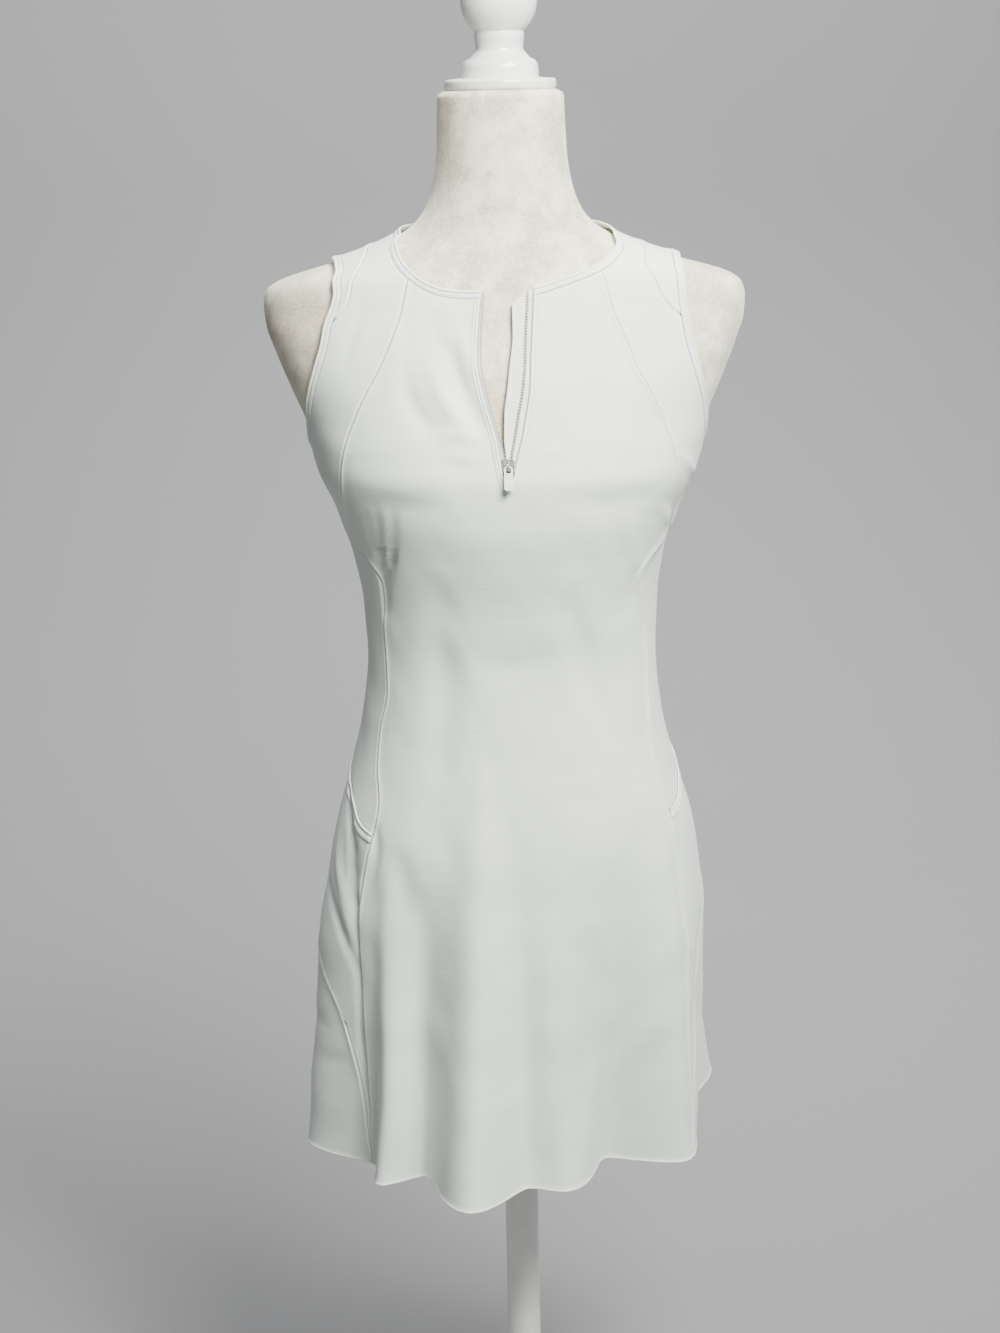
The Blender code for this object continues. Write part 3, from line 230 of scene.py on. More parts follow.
# The opening of each arm, from the underarm up the front and down the back
armEdges = {
    "left": (
        # around, height
        (-90.0, 1.1000), (-84.0, 1.1035), (-78.0, 1.1170), (-71.5, 1.1465), (-68.5, 1.1685),
        (-67.0, 1.1905), (-67.2, 1.2115), (-68.0, 1.2375), (-71.8, 1.2505), (-78.8, 1.2575),
        (-92.0, 1.2600), (-102.0, 1.2580), (-109.5, 1.2490), (-113.5, 1.2330), (-115.0, 1.2050),
        (-113.0, 1.1750), (-108.0, 1.1430), (-101.0, 1.1150), (-95.5, 1.1035),
    ),
    "right": (
        (90.0, 1.0960), (84.0, 1.0990), (79.0, 1.1110), (74.5, 1.1325), (71.0, 1.1500),
        (68.5, 1.1700), (67.5, 1.1945), (68.5, 1.2190), (72.0, 1.2460), (78.5, 1.2550),
        (87.5, 1.2590), (98.0, 1.2590), (106.5, 1.2520), (112.0, 1.2370), (114.5, 1.2090),
        (113.0, 1.1770), (108.0, 1.1430), (101.0, 1.1120), (95.5, 1.0995),
    ),
}
# The forward shoulder seams, from the armhole up, over and to the neck
shoulderSeams = {
    "left": (
        # around, height
        (-64.0, 1.2050), (-63.3, 1.2270), (-64.0, 1.2395), (-67.5, 1.2550), (-76.5, 1.2665),
        (-88.0, 1.2710), (-99.0, 1.2725), (-108.0, 1.2740),
    ),
    "right": (
        (64.8, 1.1990), (64.2, 1.2195), (63.5, 1.2385), (65.0, 1.2520), (73.5, 1.2630),
        (84.0, 1.2685), (97.0, 1.2715), (108.0, 1.2740),
    ),
}
# Free edges beside the zip, from the top down: a row holds a height and, at
# that height, how far round each edge lies
zipEdges = (
    # height, panelLeft, panelRight, teethLeft, teethRight, guardLeft
    (1.2365, -13.0, 16.6, -11.5, 13.0, 3.6),
    (1.2240, -13.6, 15.3, -12.0, 12.2, 3.6),
    (1.1985, -14.0, 13.0, -12.3, 10.0, 3.4),
    (1.1800, -13.5, 11.5, -11.8, 9.0, 1.8),
    (1.1545, -10.5, 10.0, -8.9, 7.0, 0.0),
    (1.1345, -7.4, 7.8, -5.8, 4.7, -1.4),
    (1.1165, -4.6, 5.8, -3.2, 2.9, -1.6),
    (1.1000, -3.1, 3.6, -1.5, 1.3, -0.9),
    (1.0850, -1.8, 1.8, -0.5, 0.5, 0.0),
    (dress["zipBottom"], 0.0, 0.0, 0.0, 0.0, 0.0),
)


# Curves through tables
# Between two rows, a cubic that passes through both of them with their slopes.
def cubic(x, y, tangent, at):
    row = np.clip(np.searchsorted(x, at, side="right") - 1, 0, len(x) - 2)
    t = ((at - x[row]) / (x[row + 1] - x[row]))[..., None]
    width = (x[row + 1] - x[row])[..., None]
    return (
        (2 * t**3 - 3 * t**2 + 1) * y[row]
        + (t**3 - 2 * t**2 + t) * width * tangent[row]
        + (3 * t**2 - 2 * t**3) * y[row + 1]
        + (t**3 - t**2) * width * tangent[row + 1]
    )


# Reads a table at the values of its first column, smoothly and without overshoot: a row's
# slope is the weighted harmonic mean of the slopes beside it, or 0 where they turn back.
def smoothRows(table, at):
    table = np.asarray(table, float)
    at = np.asarray(at, float)
    x = table[:, 0]
    y = table[:, 1:]
    step = np.diff(x)[:, None]
    slope = np.diff(y, axis=0) / step
    tangent = np.zeros_like(y)
    tangent[0] = slope[0]
    tangent[-1] = slope[-1]
    if len(x) > 2:
        before = 2 * step[1:] + step[:-1]
        after = step[1:] + 2 * step[:-1]
        sameWay = slope[:-1] * slope[1:] > 0
        safeLow = np.where(sameWay, slope[:-1], 1.0)
        safeHigh = np.where(sameWay, slope[1:], 1.0)
        mean = (before + after) / (before / safeLow + after / safeHigh)
        tangent[1:-1] = np.where(sameWay, mean, 0.0)
    return cubic(x, y, tangent, np.clip(at, x[0], x[-1]))


# Reads values that repeat every turn.
def smoothAround(angles, values, at):
    turns = [np.asarray(angles, float) + 360 * turn for turn in (-1, 0, 1)]
    table = np.stack([np.concatenate(turns), np.tile(values, 3)], axis=1)
    return smoothRows(table, at)[..., 0]


# Surfaces
# Distance from the axis to a section, which is a superellipse on each half.
def sectionRadius(table, around, height):
    halfWidth, front, back, squareFront, squareBack = np.moveaxis(smoothRows(table, height), -1, 0)
    turn = np.radians(around)
    inFront = np.cos(turn) > 0
    depth = np.where(inFront, front, back)
    square = np.where(inFront, squareFront, squareBack)
    across = np.abs(np.sin(turn) / halfWidth) ** square
    along = np.abs(np.cos(turn) / depth) ** square
    return (across + along) ** (-1 / square)


# A point from its turn, height and distance from the axis.
def place(around, height, radius):
    turn = np.radians(around)
    return np.stack([radius * np.sin(turn), -radius * np.cos(turn), height], axis=-1)


# A point on the bare form.
def figurePoint(around, height):
    around, height = np.broadcast_arrays(np.asarray(around, float), np.asarray(height, float))
    return place(around, height, sectionRadius(figureSections, around, height))


# The dress's sections: its own below the armholes, and the form's and an ease above.
def dressSections():
    shoulder = np.array([row for row in figureSections if row[0] >= easeRows[0][0]])
    shoulder[:, :4] += smoothRows(easeRows, shoulder[:, 0])
    return np.concatenate([np.array(bodySections), shoulder])


dressRows = dressSections()


# A point on the smooth outside of the cloth: its section, and a flute that grows towards
# the hem as a power of how far down it is.
def dressPoint(around, height):
    around, height = np.broadcast_arrays(np.asarray(around, float), np.asarray(height, float))
    names, angles, hemRadii, tops = zip(*flutes)
    top = smoothAround(angles, tops, around)
    growth = np.clip((top - height) / (top - dress["hem"]), 0.0, 1.05) ** dress["flutePower"]
    flute = smoothAround(angles, hemRadii, around)
    flute -= sectionRadius(dressRows, around, np.full_like(height, dress["hem"]))
    return place(around, height, sectionRadius(dressRows, around, height) + flute * growth)


# The outward direction there, across two short steps round and up.
def dressNormal(around, height):
    turn = 0.4
    rise = 0.0008
    across = dressPoint(around + turn, height) - dressPoint(around - turn, height)
    upward = dressPoint(around, height + rise) - dressPoint(around, height - rise)
    normal = np.cross(across, upward)
    return normal / np.linalg.norm(normal, axis=-1, keepdims=True)


# Vectors of length 1.
def unit(vectors):
    return vectors / np.linalg.norm(vectors, axis=-1, keepdims=True)


# The rows of (around, height) of points, with turns close to those of near.
def turnsAndHeights(points, near):
    around = np.degrees(np.arctan2(points[..., 0], -points[..., 1]))
    around += 360 * np.round((near - around) / 360)
    return np.stack([around, points[..., 2]], axis=-1)


# Moves a path of (around, height) rows sideways in the cloth, towards the place aim.
# A negative distance moves it away from aim. Corners keep the distance from
# both of their edges.
def beside(path, distance, aim, closed=False):
    path = np.asarray(path, float)
    if closed:
        path = np.concatenate([path[-2:], path, path[:2]])
    points = dressPoint(path[:, 0], path[:, 1])
    normals = dressNormal(path[:, 0], path[:, 1])
    edges = unit(np.diff(points, axis=0))
    before = unit(np.cross(edges[[0, *range(len(edges))]], normals))
    after = unit(np.cross(edges[[*range(len(edges)), -1]], normals))
    sideways = before + after
    sideways *= 2.0 / np.maximum(np.sum(sideways**2, axis=1, keepdims=True), 1.0)
    target = aim if len(aim) == 3 else dressPoint(*aim)
    sideways *= np.sign(np.sum(sideways * (target - points)))
    result = turnsAndHeights(points + sideways * distance, path[:, 0])
    return result[2:-2] if closed else result


# The place between two paths that start at one corner, at a distance from both.
def insideCorner(first, last, distance):
    corner, one, other = (dressPoint(*row) for row in (first[0], first[1], last[1]))
    one = unit(one - corner)
    other = unit(other - corner)
    spread = np.linalg.norm(np.cross(one, other))
    return turnsAndHeights(corner + distance * (one + other) / spread, first[0][0])


# Rows at even distances along a smooth curve through a path.
def resampled(path, count, closed=False):
    path = np.asarray(path, float)
    knots = np.concatenate([path, path[:1]]) if closed else path
    points = dressPoint(knots[:, 0], knots[:, 1])
    length = np.concatenate([[0.0], np.cumsum(np.linalg.norm(np.diff(points, axis=0), axis=1))])
    table = np.concatenate([length[:, None], knots], axis=1)
    if closed:
        before = table[-3:-1] - [length[-1], 0, 0]
        after = table[1:3] + [length[-1], 0, 0]
        table = np.concatenate([before, table, after])
        return curveThrough(table, np.linspace(0.0, length[-1], count + 1)[:-1])
    return curveThrough(table, np.linspace(0.0, length[-1], count))


# Reads a table as a curve whose values may turn back.
def curveThrough(table, at):
    x = table[:, 0]
    y = table[:, 1:]
    if len(x) > 2:
        tangent = np.gradient(y, x, axis=0)
    else:
        tangent = np.tile(np.diff(y, axis=0) / np.diff(x), (2, 1))
    return cubic(x, y, tangent, at)


# Edges that the pieces share
# The rows of a seam's table as (around, height).
def seamKnots(kind, side):
    return [(around, height) for height, around in seamRows[f"{kind}_{side}"]]


# The turn of a seam at some heights.
def seamAround(kind, side, heights):
    return smoothRows(seamRows[f"{kind}_{side}"][::-1], heights)[..., 0]


# Rows of (around, height) down a seam.
def seam(kind, side):
    return resampled(seamKnots(kind, side), steps[kind] + 1)


# The height of the neck's edge at some turns.
def neckHeight(around):
    angles, heights = zip(*neckEdge)
    return smoothAround(angles, heights, around)


# Rows beside the neck's edge, a distance down from it, at the given turns.
def neckLine(stations, drop):
    stations = np.asarray(stations, float)
    reach = np.sign(stations[-1] - stations[0]) * 2.0
    longer = np.concatenate([[stations[0] - reach], stations, [stations[-1] + reach]])
    path = np.stack([longer, neckHeight(longer)], axis=1)
    middle = stations[len(stations) // 2]
    return beside(path, drop, (middle, neckHeight(middle) - 0.03))[1:-1]


# The turn at which a princess seam meets the neck's edge, found by stepping between the
# seam's turn at a height and the edge's height at that turn.
def neckCrossing(side):
    height = 1.25
    for _ in range(20):
        around = float(seamAround("princess", side, height))
        height = float(neckLine([around - 1, around, around + 1], dress["panelInset"])[1, 1])
    return around


# Every shared edge of one side of the dress.
class Side:
    def __init__(self, name):
        self.name = name
        self.sign = -1.0 if name == "left" else 1.0
        self.zipColumn = 1 if name == "left" else 2
        self.armEdge = resampled(armEdges[name], steps["arm"], closed=True)
        armPoints = dressPoint(self.armEdge[:, 0], self.armEdge[:, 1])
        self.armMiddle = armPoints.mean(axis=0)
        self.armPanel = self.armStrip(dress["panelInset"])
        self.tip = steps["foot"]
        self.stations()
        self.shoulder = self.shoulderSeam()
        self.princess = self.princessSeam()
        self.sideFront = seam("side_front", name)
        self.lowFront = seam("low_front", name)
        self.hemFront = seam("hem_front", name)
        self.sideBack = self.like("side_back", self.sideFront)
        self.lowBack = self.like("low_back", self.lowFront)

    # The arm's edge moved out over the cloth, all the way round.
    def armStrip(self, distance):
        return beside(self.armEdge, -distance, self.armMiddle, closed=True)

    # Turns along the neck's edge: front, over the shoulder and behind.
    def stations(self):
        atZip = zipEdges[0][self.zipColumn]
        atSeam = neckCrossing(self.name)
        behind = shoulderSeams[self.name][-1][0]
        self.neckFront = np.linspace(atZip, atSeam, steps["front"] + 1)
        self.neckShoulder = np.linspace(atSeam, behind, steps["neckShoulder"] + 1)
        self.neckBehind = np.linspace(behind, 180.0 * self.sign, steps["neckBack"] + 1)

    # From the armhole, where it starts a cloth's thickness wide, up and over to the neck.
    def shoulderSeam(self):
        knots = np.array(shoulderSeams[self.name])
        knots[0] = self.armStrip(dress["panelInset"] + dress["cloth"])[self.tip]
        knots[-1] = neckLine(self.neckBehind[:3], dress["panelInset"])[0]
        return resampled(knots, steps["shoulder"] + 1)

    # From the underarm down to the side panel's tip.
    def sideSeam(self):
        tip = seamRows[f"side_front_{self.name}"][0]
        return resampled([self.armPanel[0], (tip[1], tip[0])], steps["side"] + 1)

    # As many rows as the armhole panel's other edge has below the neck.
    def princessSeam(self):
        count = steps["shoulder"] + self.tip + steps["side"] - steps["neckShoulder"]
        start = neckLine(self.neckShoulder[:3], dress["panelInset"])[0]
        lower = [knot for knot in seamKnots("princess", self.name) if knot[1] < start[1] - 0.01]
        return resampled([start] + lower, count + 1)

    # A seam with as many rows as the one across the panel from it.
    def like(self, kind, partner):
        return resampled(seamKnots(kind, self.name), len(partner))

    # The outer edge of the front armhole panel, from the neck down to the side panel's tip.
    def shoulderAndArm(self):
        arm = self.armPanel[: self.tip][::-1]
        return np.concatenate([self.shoulder[::-1], arm, self.sideSeam()[1:]])


# A path moved half a seam's gap towards a place.
def halfGap(path, aim):
    return beside(path, dress["seamGap"] / 2, aim)


# Panels
# The turn of one of the zip's edges at some heights.
def zipEdge(column, heights):
    table = [(row[0], row[column]) for row in zipEdges[::-1]]
    return smoothRows(table, heights)[..., 0]


# Seams joined end to end, half a gap inside, and level with the hem at the foot.
def outerEdge(seams, aim):
    outer = halfGap(np.concatenate([seams[0], *(path[1:] for path in seams[1:])]), aim)
    outer[-1, 1] = dress["hem"]
    return outer


# The front's edge, from the neck to the hem.
def frontOuter(side):
    return outerEdge([side.princess, side.sideFront, side.lowFront, side.hemFront], (0.0, 0.8))


# The back's edge, from the shoulder seam round the armhole and down to the hem.
def backOuter(side):
    arm = np.concatenate([side.armPanel, side.armPanel[:1]])[side.tip:]
    seams = [arm, side.sideSeam(), side.sideBack, side.lowBack, side.hemFront]
    return outerEdge(seams, (side.sign * 180.0, 1.0))


# The heights of the front's rows at its middle, for each side, and the row where the zip
# ends: the outer edges' mean heights, stretched to end at the zip's foot and the hem.
def frontHeights(sides):
    outers = [frontOuter(side) for side in sides]
    level = (outers[0][:, 1] + outers[1][:, 1]) / 2
    hem = dress["hem"]
    foot = dress["zipBottom"]
    zipRow = int(np.argmin(np.abs(level - foot)))
    below = hem + (foot - hem) * (level[zipRow:] - hem) / (level[zipRow] - hem)
    descent = (level[:zipRow] - level[zipRow]) / (level[0] - level[zipRow])
    tops = [neckLine(side.neckFront, dress["panelInset"])[0, 1] for side in sides]
    return [np.concatenate([foot + (top - foot) * descent, below]) for top in tops], zipRow


# Rows from the front seam to the back seam, a distance below the mouth's edge.
def pocketMouth(side, down):
    mouth = resampled(pocketRows[side.name], steps["pocket"] + 1)
    if down == 0.0:
        return mouth
    moved = beside(mouth, down, (mouth[steps["pocket"] // 2, 0], 0.6))
    for end, kind in ((0, "low_front"), (-1, "low_back")):
        moved[end, 0] = seamAround(kind, side.name, moved[end, 1])
    return moved


# The turn at one height, half a gap inside a seam.
def seamTurn(side, kind, height, middle):
    heights = [height + 0.002, height, height - 0.002]
    path = np.stack([seamAround(kind, side.name, heights), heights], axis=1)
    return halfGap(path, middle)[1, 0]


# Half a seam gap at the neck's edge, in degrees.
def halfGapTurn(around):
    radius = np.linalg.norm(dressPoint(around, neckHeight(around))[:2])
    return math.degrees(dress["seamGap"] / 2 / radius)


# Creases and folds: how far each stands out, how wide it is, how much steeper its upper
# side is, and where it runs. Troughs have a depth below zero.
folds = (
    # name, out, width, steepness, rows of (around, height)
    ("left bust valley", -0.0036, 0.0085, 0.2,
     ((-28.5, 1.199), (-21.5, 1.167), (-15.0, 1.141), (-7.5, 1.113))),
    ("left bust drag", 0.0024, 0.0080, 0.2,
     ((-34.5, 1.185), (-28.5, 1.157), (-21.0, 1.133), (-12.0, 1.112))),
    ("left upper drag", 0.0020, 0.0080, 0.3,
     ((-22.5, 1.207), (-19.0, 1.190), (-15.5, 1.174), (-14.0, 1.162))),
    ("left bust hollow", -0.0026, 0.0095, 0.1,
     ((-45.0, 1.189), (-40.0, 1.157), (-34.0, 1.134), (-25.0, 1.116))),
    ("left upper valley", -0.0014, 0.0110, 0.1, ((-33.0, 1.221), (-33.0, 1.203), (-31.0, 1.188))),
    ("left shoulder drag", 0.0013, 0.0100, 0.1,
     ((-48.0, 1.217), (-47.0, 1.197), (-44.0, 1.172), (-39.0, 1.150))),
    ("left low drag", 0.0014, 0.0075, 0.2, ((-31.0, 1.121), (-20.5, 1.119), (-11.0, 1.113))),
    ("left zip drag", 0.0013, 0.0065, -0.2, ((-24.5, 1.103), (-16.5, 1.101), (-8.5, 1.097))),
    ("right zip drag", 0.0008, 0.0060, 0.2, ((9.0, 1.098), (16.0, 1.103), (24.0, 1.108))),
    ("right bust drag", 0.0007, 0.0070, 0.1, ((14.0, 1.139), (21.0, 1.152), (30.0, 1.160))),
    ("left arm crease", -0.0012, 0.0070, 0.0,
     ((-59.5, 1.238), (-59.0, 1.209), (-59.5, 1.187), (-60.5, 1.171))),
    ("right arm crease", -0.0008, 0.0080, 0.0, ((60.5, 1.222), (60.0, 1.196), (61.5, 1.172))),
    ("left under the bust", -0.0018, 0.0130, 0.0,
     ((-56.0, 1.063), (-45.5, 1.061), (-34.0, 1.059), (-20.5, 1.059))),
    ("right under the bust", -0.0018, 0.0130, 0.0,
     ((14.0, 1.065), (33.5, 1.059), (46.0, 1.061), (56.0, 1.063))),
    ("left drag 1", -0.0030, 0.0042, 0.3,
     ((-48.5, 1.063), (-50.5, 1.031), (-54.5, 1.005), (-58.5, 0.973), (-60.5, 0.948))),
    ("left drag 2", -0.0030, 0.0046, 0.2,
     ((-41.5, 1.059), (-44.5, 1.035), (-49.0, 1.008), (-55.0, 0.981), (-59.5, 0.951))),
    ("left drag 3", -0.0016, 0.0042, 0.2,
     ((-53.0, 1.055), (-54.5, 1.029), (-57.5, 1.001), (-59.0, 0.979))),
    ("right drag 1", 0.0017, 0.0075, 0.2, ((45.0, 1.049), (49.0, 1.019), (55.0, 0.991))),
    ("right drag 2", 0.0013, 0.0060, 0.2, ((55.5, 1.051), (64.0, 1.039), (70.0, 1.027))),
    ("right drag 3", 0.0012, 0.0065, 0.0, ((75.5, 1.019), (64.0, 1.007), (58.5, 0.987))),
    ("right underarm", 0.0024, 0.0055, 0.3,
     ((61.0, 1.099), (65.5, 1.087), (71.0, 1.078), (77.5, 1.071))),
    ("left waist", -0.0036, 0.0190, 0.0,
     ((-29.0, 0.999), (-33.0, 0.945), (-33.5, 0.885), (-33.5, 0.817), (-35.0, 0.741))),
    ("right waist", -0.0028, 0.0150, 0.0,
     ((23.5, 0.985), (33.0, 0.931), (40.5, 0.879), (46.5, 0.830))),
    ("waist across", -0.0010, 0.0120, 0.1,
     ((-22.0, 0.917), (-5.0, 0.911), (12.0, 0.916), (24.0, 0.925))),
    ("left skirt valley", -0.0040, 0.0140, 0.0,
     ((-39.0, 0.717), (-37.0, 0.655), (-39.5, 0.581), (-39.5, 0.507), (-38.5, 0.443))),
    ("left skirt ridge", 0.0032, 0.0110, 0.2,
     ((-50.5, 0.733), (-49.5, 0.665), (-47.5, 0.581), (-44.5, 0.499), (-43.5, 0.447))),
    ("middle skirt valley", -0.0034, 0.0170, 0.0,
     ((31.0, 0.677), (30.0, 0.609), (25.5, 0.539), (22.0, 0.485))),
    ("middle skirt ridge", 0.0030, 0.0170, 0.0,
     ((13.0, 0.697), (12.0, 0.615), (8.5, 0.531), (6.5, 0.465))),
    ("right skirt ridge", 0.0028, 0.0170, 0.0,
     ((54.0, 0.655), (52.5, 0.583), (49.5, 0.539), (49.5, 0.479))),
    ("left hip crease", -0.0052, 0.0046, 0.3,
     ((-79.5, 0.792), (-72.0, 0.767), (-67.5, 0.742), (-64.5, 0.704), (-62.5, 0.663),
      (-61.5, 0.600))),
    ("left seam crease", -0.0030, 0.0050, 0.2,
     ((-61.5, 0.640), (-61.5, 0.590), (-61.5, 0.535), (-60.5, 0.480))),
    ("left pocket end", -0.0026, 0.0050, 0.2,
     ((-59.0, 0.768), (-56.5, 0.748), (-56.5, 0.727), (-58.5, 0.700))),
    ("left hip drag 1", -0.0034, 0.0055, 0.2,
     ((-82.0, 0.703), (-72.5, 0.677), (-67.0, 0.653), (-62.5, 0.622))),
    ("left hip drag 2", 0.0024, 0.0060, 0.1,
     ((-78.5, 0.763), (-75.5, 0.725), (-69.5, 0.692), (-65.5, 0.660))),
    ("left back dent 1", -0.0016, 0.0090, 0.0, ((-90.0, 0.556), (-82.0, 0.561), (-73.0, 0.566))),
    ("left back dent 2", -0.0016, 0.0070, 0.2, ((-76.0, 0.521), (-71.0, 0.531), (-67.0, 0.540))),
    ("left low drag 1", -0.0018, 0.0080, 0.0, ((-86.0, 0.580), (-97.5, 0.557), (-102.5, 0.525))),
    ("left low drag 2", 0.0015, 0.0070, 0.1, ((-64.0, 0.513), (-67.0, 0.491), (-68.5, 0.459))),
    ("right hip drag 1", -0.0020, 0.0085, 0.2,
     ((69.5, 0.757), (65.0, 0.709), (66.0, 0.669), (69.0, 0.637))),
    ("right hip drag 2", -0.0014, 0.0090, 0.0, ((74.5, 0.649), (72.0, 0.581), (73.0, 0.540))),
    ("left front fold", -0.0018, 0.0110, 0.0, ((-47.5, 0.747), (-45.0, 0.715), (-43.5, 0.677))),
    # behind, where the photo's like is carried round
    ("back waist 1", 0.0016, 0.0080, 0.3,
     ((150.0, 0.948), (166.0, 0.934), (181.0, 0.930), (197.0, 0.938))),
    ("back waist 2", 0.0012, 0.0075, 0.2, ((140.0, 0.905), (158.0, 0.897), (178.0, 0.899))),
    ("back waist 3", -0.0014, 0.0090, 0.0, ((186.0, 0.896), (203.0, 0.904), (218.0, 0.921))),
    ("back waist 4", 0.0011, 0.0070, -0.2, ((128.0, 0.962), (142.0, 0.975), (158.0, 0.979))),
    ("back waist 5", 0.0013, 0.0080, 0.2, ((201.0, 0.972), (216.0, 0.964), (232.0, 0.951))),
    ("right back drag", -0.0016, 0.0075, 0.2,
     ((106.0, 1.070), (120.0, 1.049), (133.0, 1.018), (142.0, 0.984))),
    ("left back drag", -0.0015, 0.0080, 0.1, ((-107.0, 1.074), (-121.0, 1.046), (-134.0, 1.020))),
    ("right blade", 0.0008, 0.0085, 0.0, ((118.0, 1.158), (128.0, 1.128), (134.0, 1.096))),
    ("left blade", 0.0008, 0.0080, 0.0, ((-120.0, 1.166), (-129.0, 1.139), (-133.0, 1.099))),
    ("right hip fold", -0.0021, 0.0095, 0.2,
     ((116.0, 0.775), (128.0, 0.733), (135.0, 0.690), (137.0, 0.640))),
    ("left hip fold", -0.0019, 0.0090, 0.1, ((-117.0, 0.789), (-127.0, 0.748), (-133.0, 0.706))),
    ("back skirt fold 1", 0.0028, 0.0140, 0.0,
     ((157.0, 0.702), (155.0, 0.622), (151.0, 0.541), (150.0, 0.470))),
    ("back skirt fold 2", -0.0030, 0.0140, 0.0,
     ((181.0, 0.688), (184.0, 0.603), (189.0, 0.525), (191.0, 0.452))),
    ("back skirt fold 3", 0.0025, 0.0150, 0.1, ((206.0, 0.664), (203.0, 0.585), (200.0, 0.498))),
    ("back skirt fold 4", -0.0024, 0.0120, 0.0,
     ((228.0, 0.723), (233.0, 0.656), (236.0, 0.577), (235.0, 0.505))),
    ("right skirt fold", 0.0024, 0.0120, 0.1,
     ((109.0, 0.668), (114.0, 0.597), (117.0, 0.520), (116.0, 0.456))),
)
# Low waves all over, so that no stretch of cloth is quite plain
ripples = (
    # height of the wave, waves a turn, waves a metre up, phase
    (0.00050, 3, 5.3, 0.4),
    (0.00042, 5, 8.1, 1.9),
    (0.00030, 8, 13.7, 3.1),
    (0.00018, 13, 19.0, 5.2),
)


# How far the folds and the ripples move points out. Along its path a fold swells and fades
# as a sine, and across it falls off as a bell with a shallow dip on both sides. A point's
# distance from a path is taken square to it: from the nearest sample, slid along it.
def foldOut(points, normals, around, height):
    total = np.zeros(points.shape[:-1])
    turn = np.radians(around)
    for size, turns, climbs, phase in ripples:
        sway = 1.3 * np.sin(turn * (turns - 1) + phase)
        rise = np.sin(2 * math.pi * climbs * height + sway)
        total += size * np.sin(turn * turns + phase) * rise
    total *= np.clip((1.27 - height) / 0.08, 0.15, 1.0)
    for _, out, width, steepness, rows in folds:
        knots = np.array(rows)
        table = np.concatenate([np.linspace(0.0, 1.0, len(knots))[:, None], knots], axis=1)
        along = np.linspace(0.0, 1.0, 49)
        path = curveThrough(table, along)
        spots = dressPoint(path[:, 0], path[:, 1])
        reach = 3.2 * width
        above = points > spots.min(axis=0) - reach
        near = np.all(above & (points < spots.max(axis=0) + reach), axis=-1)
        if not near.any():
            continue
        offset = points[near][:, None] - spots[None]
        nearest = np.linalg.norm(offset, axis=-1).argmin(axis=1)
        offset = offset[np.arange(len(nearest)), nearest]
        pace = np.gradient(spots, axis=0)[nearest]
        slide = np.sum(offset * pace, axis=-1) / np.sum(pace * pace, axis=-1)
        share = np.clip(along[nearest] + slide * along[1], 0.0, 1.0)
        aside = offset - ((share - along[nearest]) / along[1])[:, None] * pace
        upper = np.sum(np.cross(unit(pace), normals[near]) * aside, axis=-1)
        span = width * (1 + 0.5 * steepness * np.tanh(upper / (0.4 * width)))
        far = np.linalg.norm(aside, axis=-1) / span
        fade = np.sin(math.pi * share) ** 0.8
        total[near] += out * fade * np.exp(-(far**2)) * (1 - 0.35 * far**2)
    return total


# The outside of the worn cloth: the smooth dress moved out by its folds.
def wornPoint(around, height):
    points = dressPoint(around, height)
    normals = dressNormal(around, height)
    return points + foldOut(points, normals, around, height)[..., None] * normals, normals


# Columns of a row at set distances from its two ends, and evenly between them; on a short
# row the set distances shrink.
def rowStops(length, columns, first, last):
    shrink = min(1.0, length / (2.6 * (first[-1] + last[-1])))
    start = np.array(first) * shrink
    end = length - np.array(last)[::-1] * shrink
    between = np.linspace(start[-1], end[0], columns + 3 - len(first) - len(last))[1:-1]
    return np.concatenate([start, between, end])


# Distances of the first columns from a seam and from the folded edge beside the zip
seamStops = (0.0, 0.0005, 0.0010, 0.0016, 0.0023, 0.0031, 0.0042)
# How far the folded edge beside the zip stands out, by the distance from it
zipFold = {
    "across": (0.0, 0.0006, 0.0014, 0.0022, 0.0028, 0.0032, 0.0037, 0.0043, 0.0049, 0.0056, 0.0070),
    "out": (0.0, 0.0009, 0.0012, 0.0010, 0.0004, 0.0001, 0.0005, 0.0007, 0.0004, 0.0, 0.0),
}


# A grid of (around, height) between two edges; the first row may be given, as the crown,
# whose bow fades out downwards.
def ruled(first, last, columns, crown=None, firstStops=seamStops, lastStops=seamStops):
    dense = 6 * columns
    first = np.asarray(first)[:, None, :]
    last = np.asarray(last)[:, None, :]
    across = np.linspace(0.0, 1.0, dense + 1)[None, :, None]
    grid = first * (1 - across) + last * across
    if crown is not None:
        down = np.linspace(0.0, 1.0, len(first))[:, None, None]
        bow = resampled(crown, dense + 1)[None] - grid[:1]
        grid = grid + bow * (1 - down) ** 2
    points = dressPoint(grid[..., 0], grid[..., 1])
    pitch = np.linalg.norm(np.diff(points, axis=1), axis=-1)
    rows = []
    for row, step in zip(grid, pitch):
        length = np.concatenate([[0.0], np.cumsum(step)])
        stops = rowStops(length[-1], columns, firstStops, lastStops)
        rows.append([np.interp(stops, length, row[:, axis]) for axis in (0, 1)])
    return np.moveaxis(np.array(rows), 1, -1)


# More rows close to the first or last one.
def closeRows(grid, first=(), last=()):
    top = [grid[0] * (1 - share) + grid[1] * share for share in first]
    foot = [grid[-1] * (1 - share) + grid[-2] * share for share in last[::-1]]
    parts = [grid[:1], np.array(top).reshape(-1, *grid.shape[1:]), grid[1:-1]]
    return np.concatenate([*parts, np.array(foot).reshape(-1, *grid.shape[1:]), grid[-1:]])


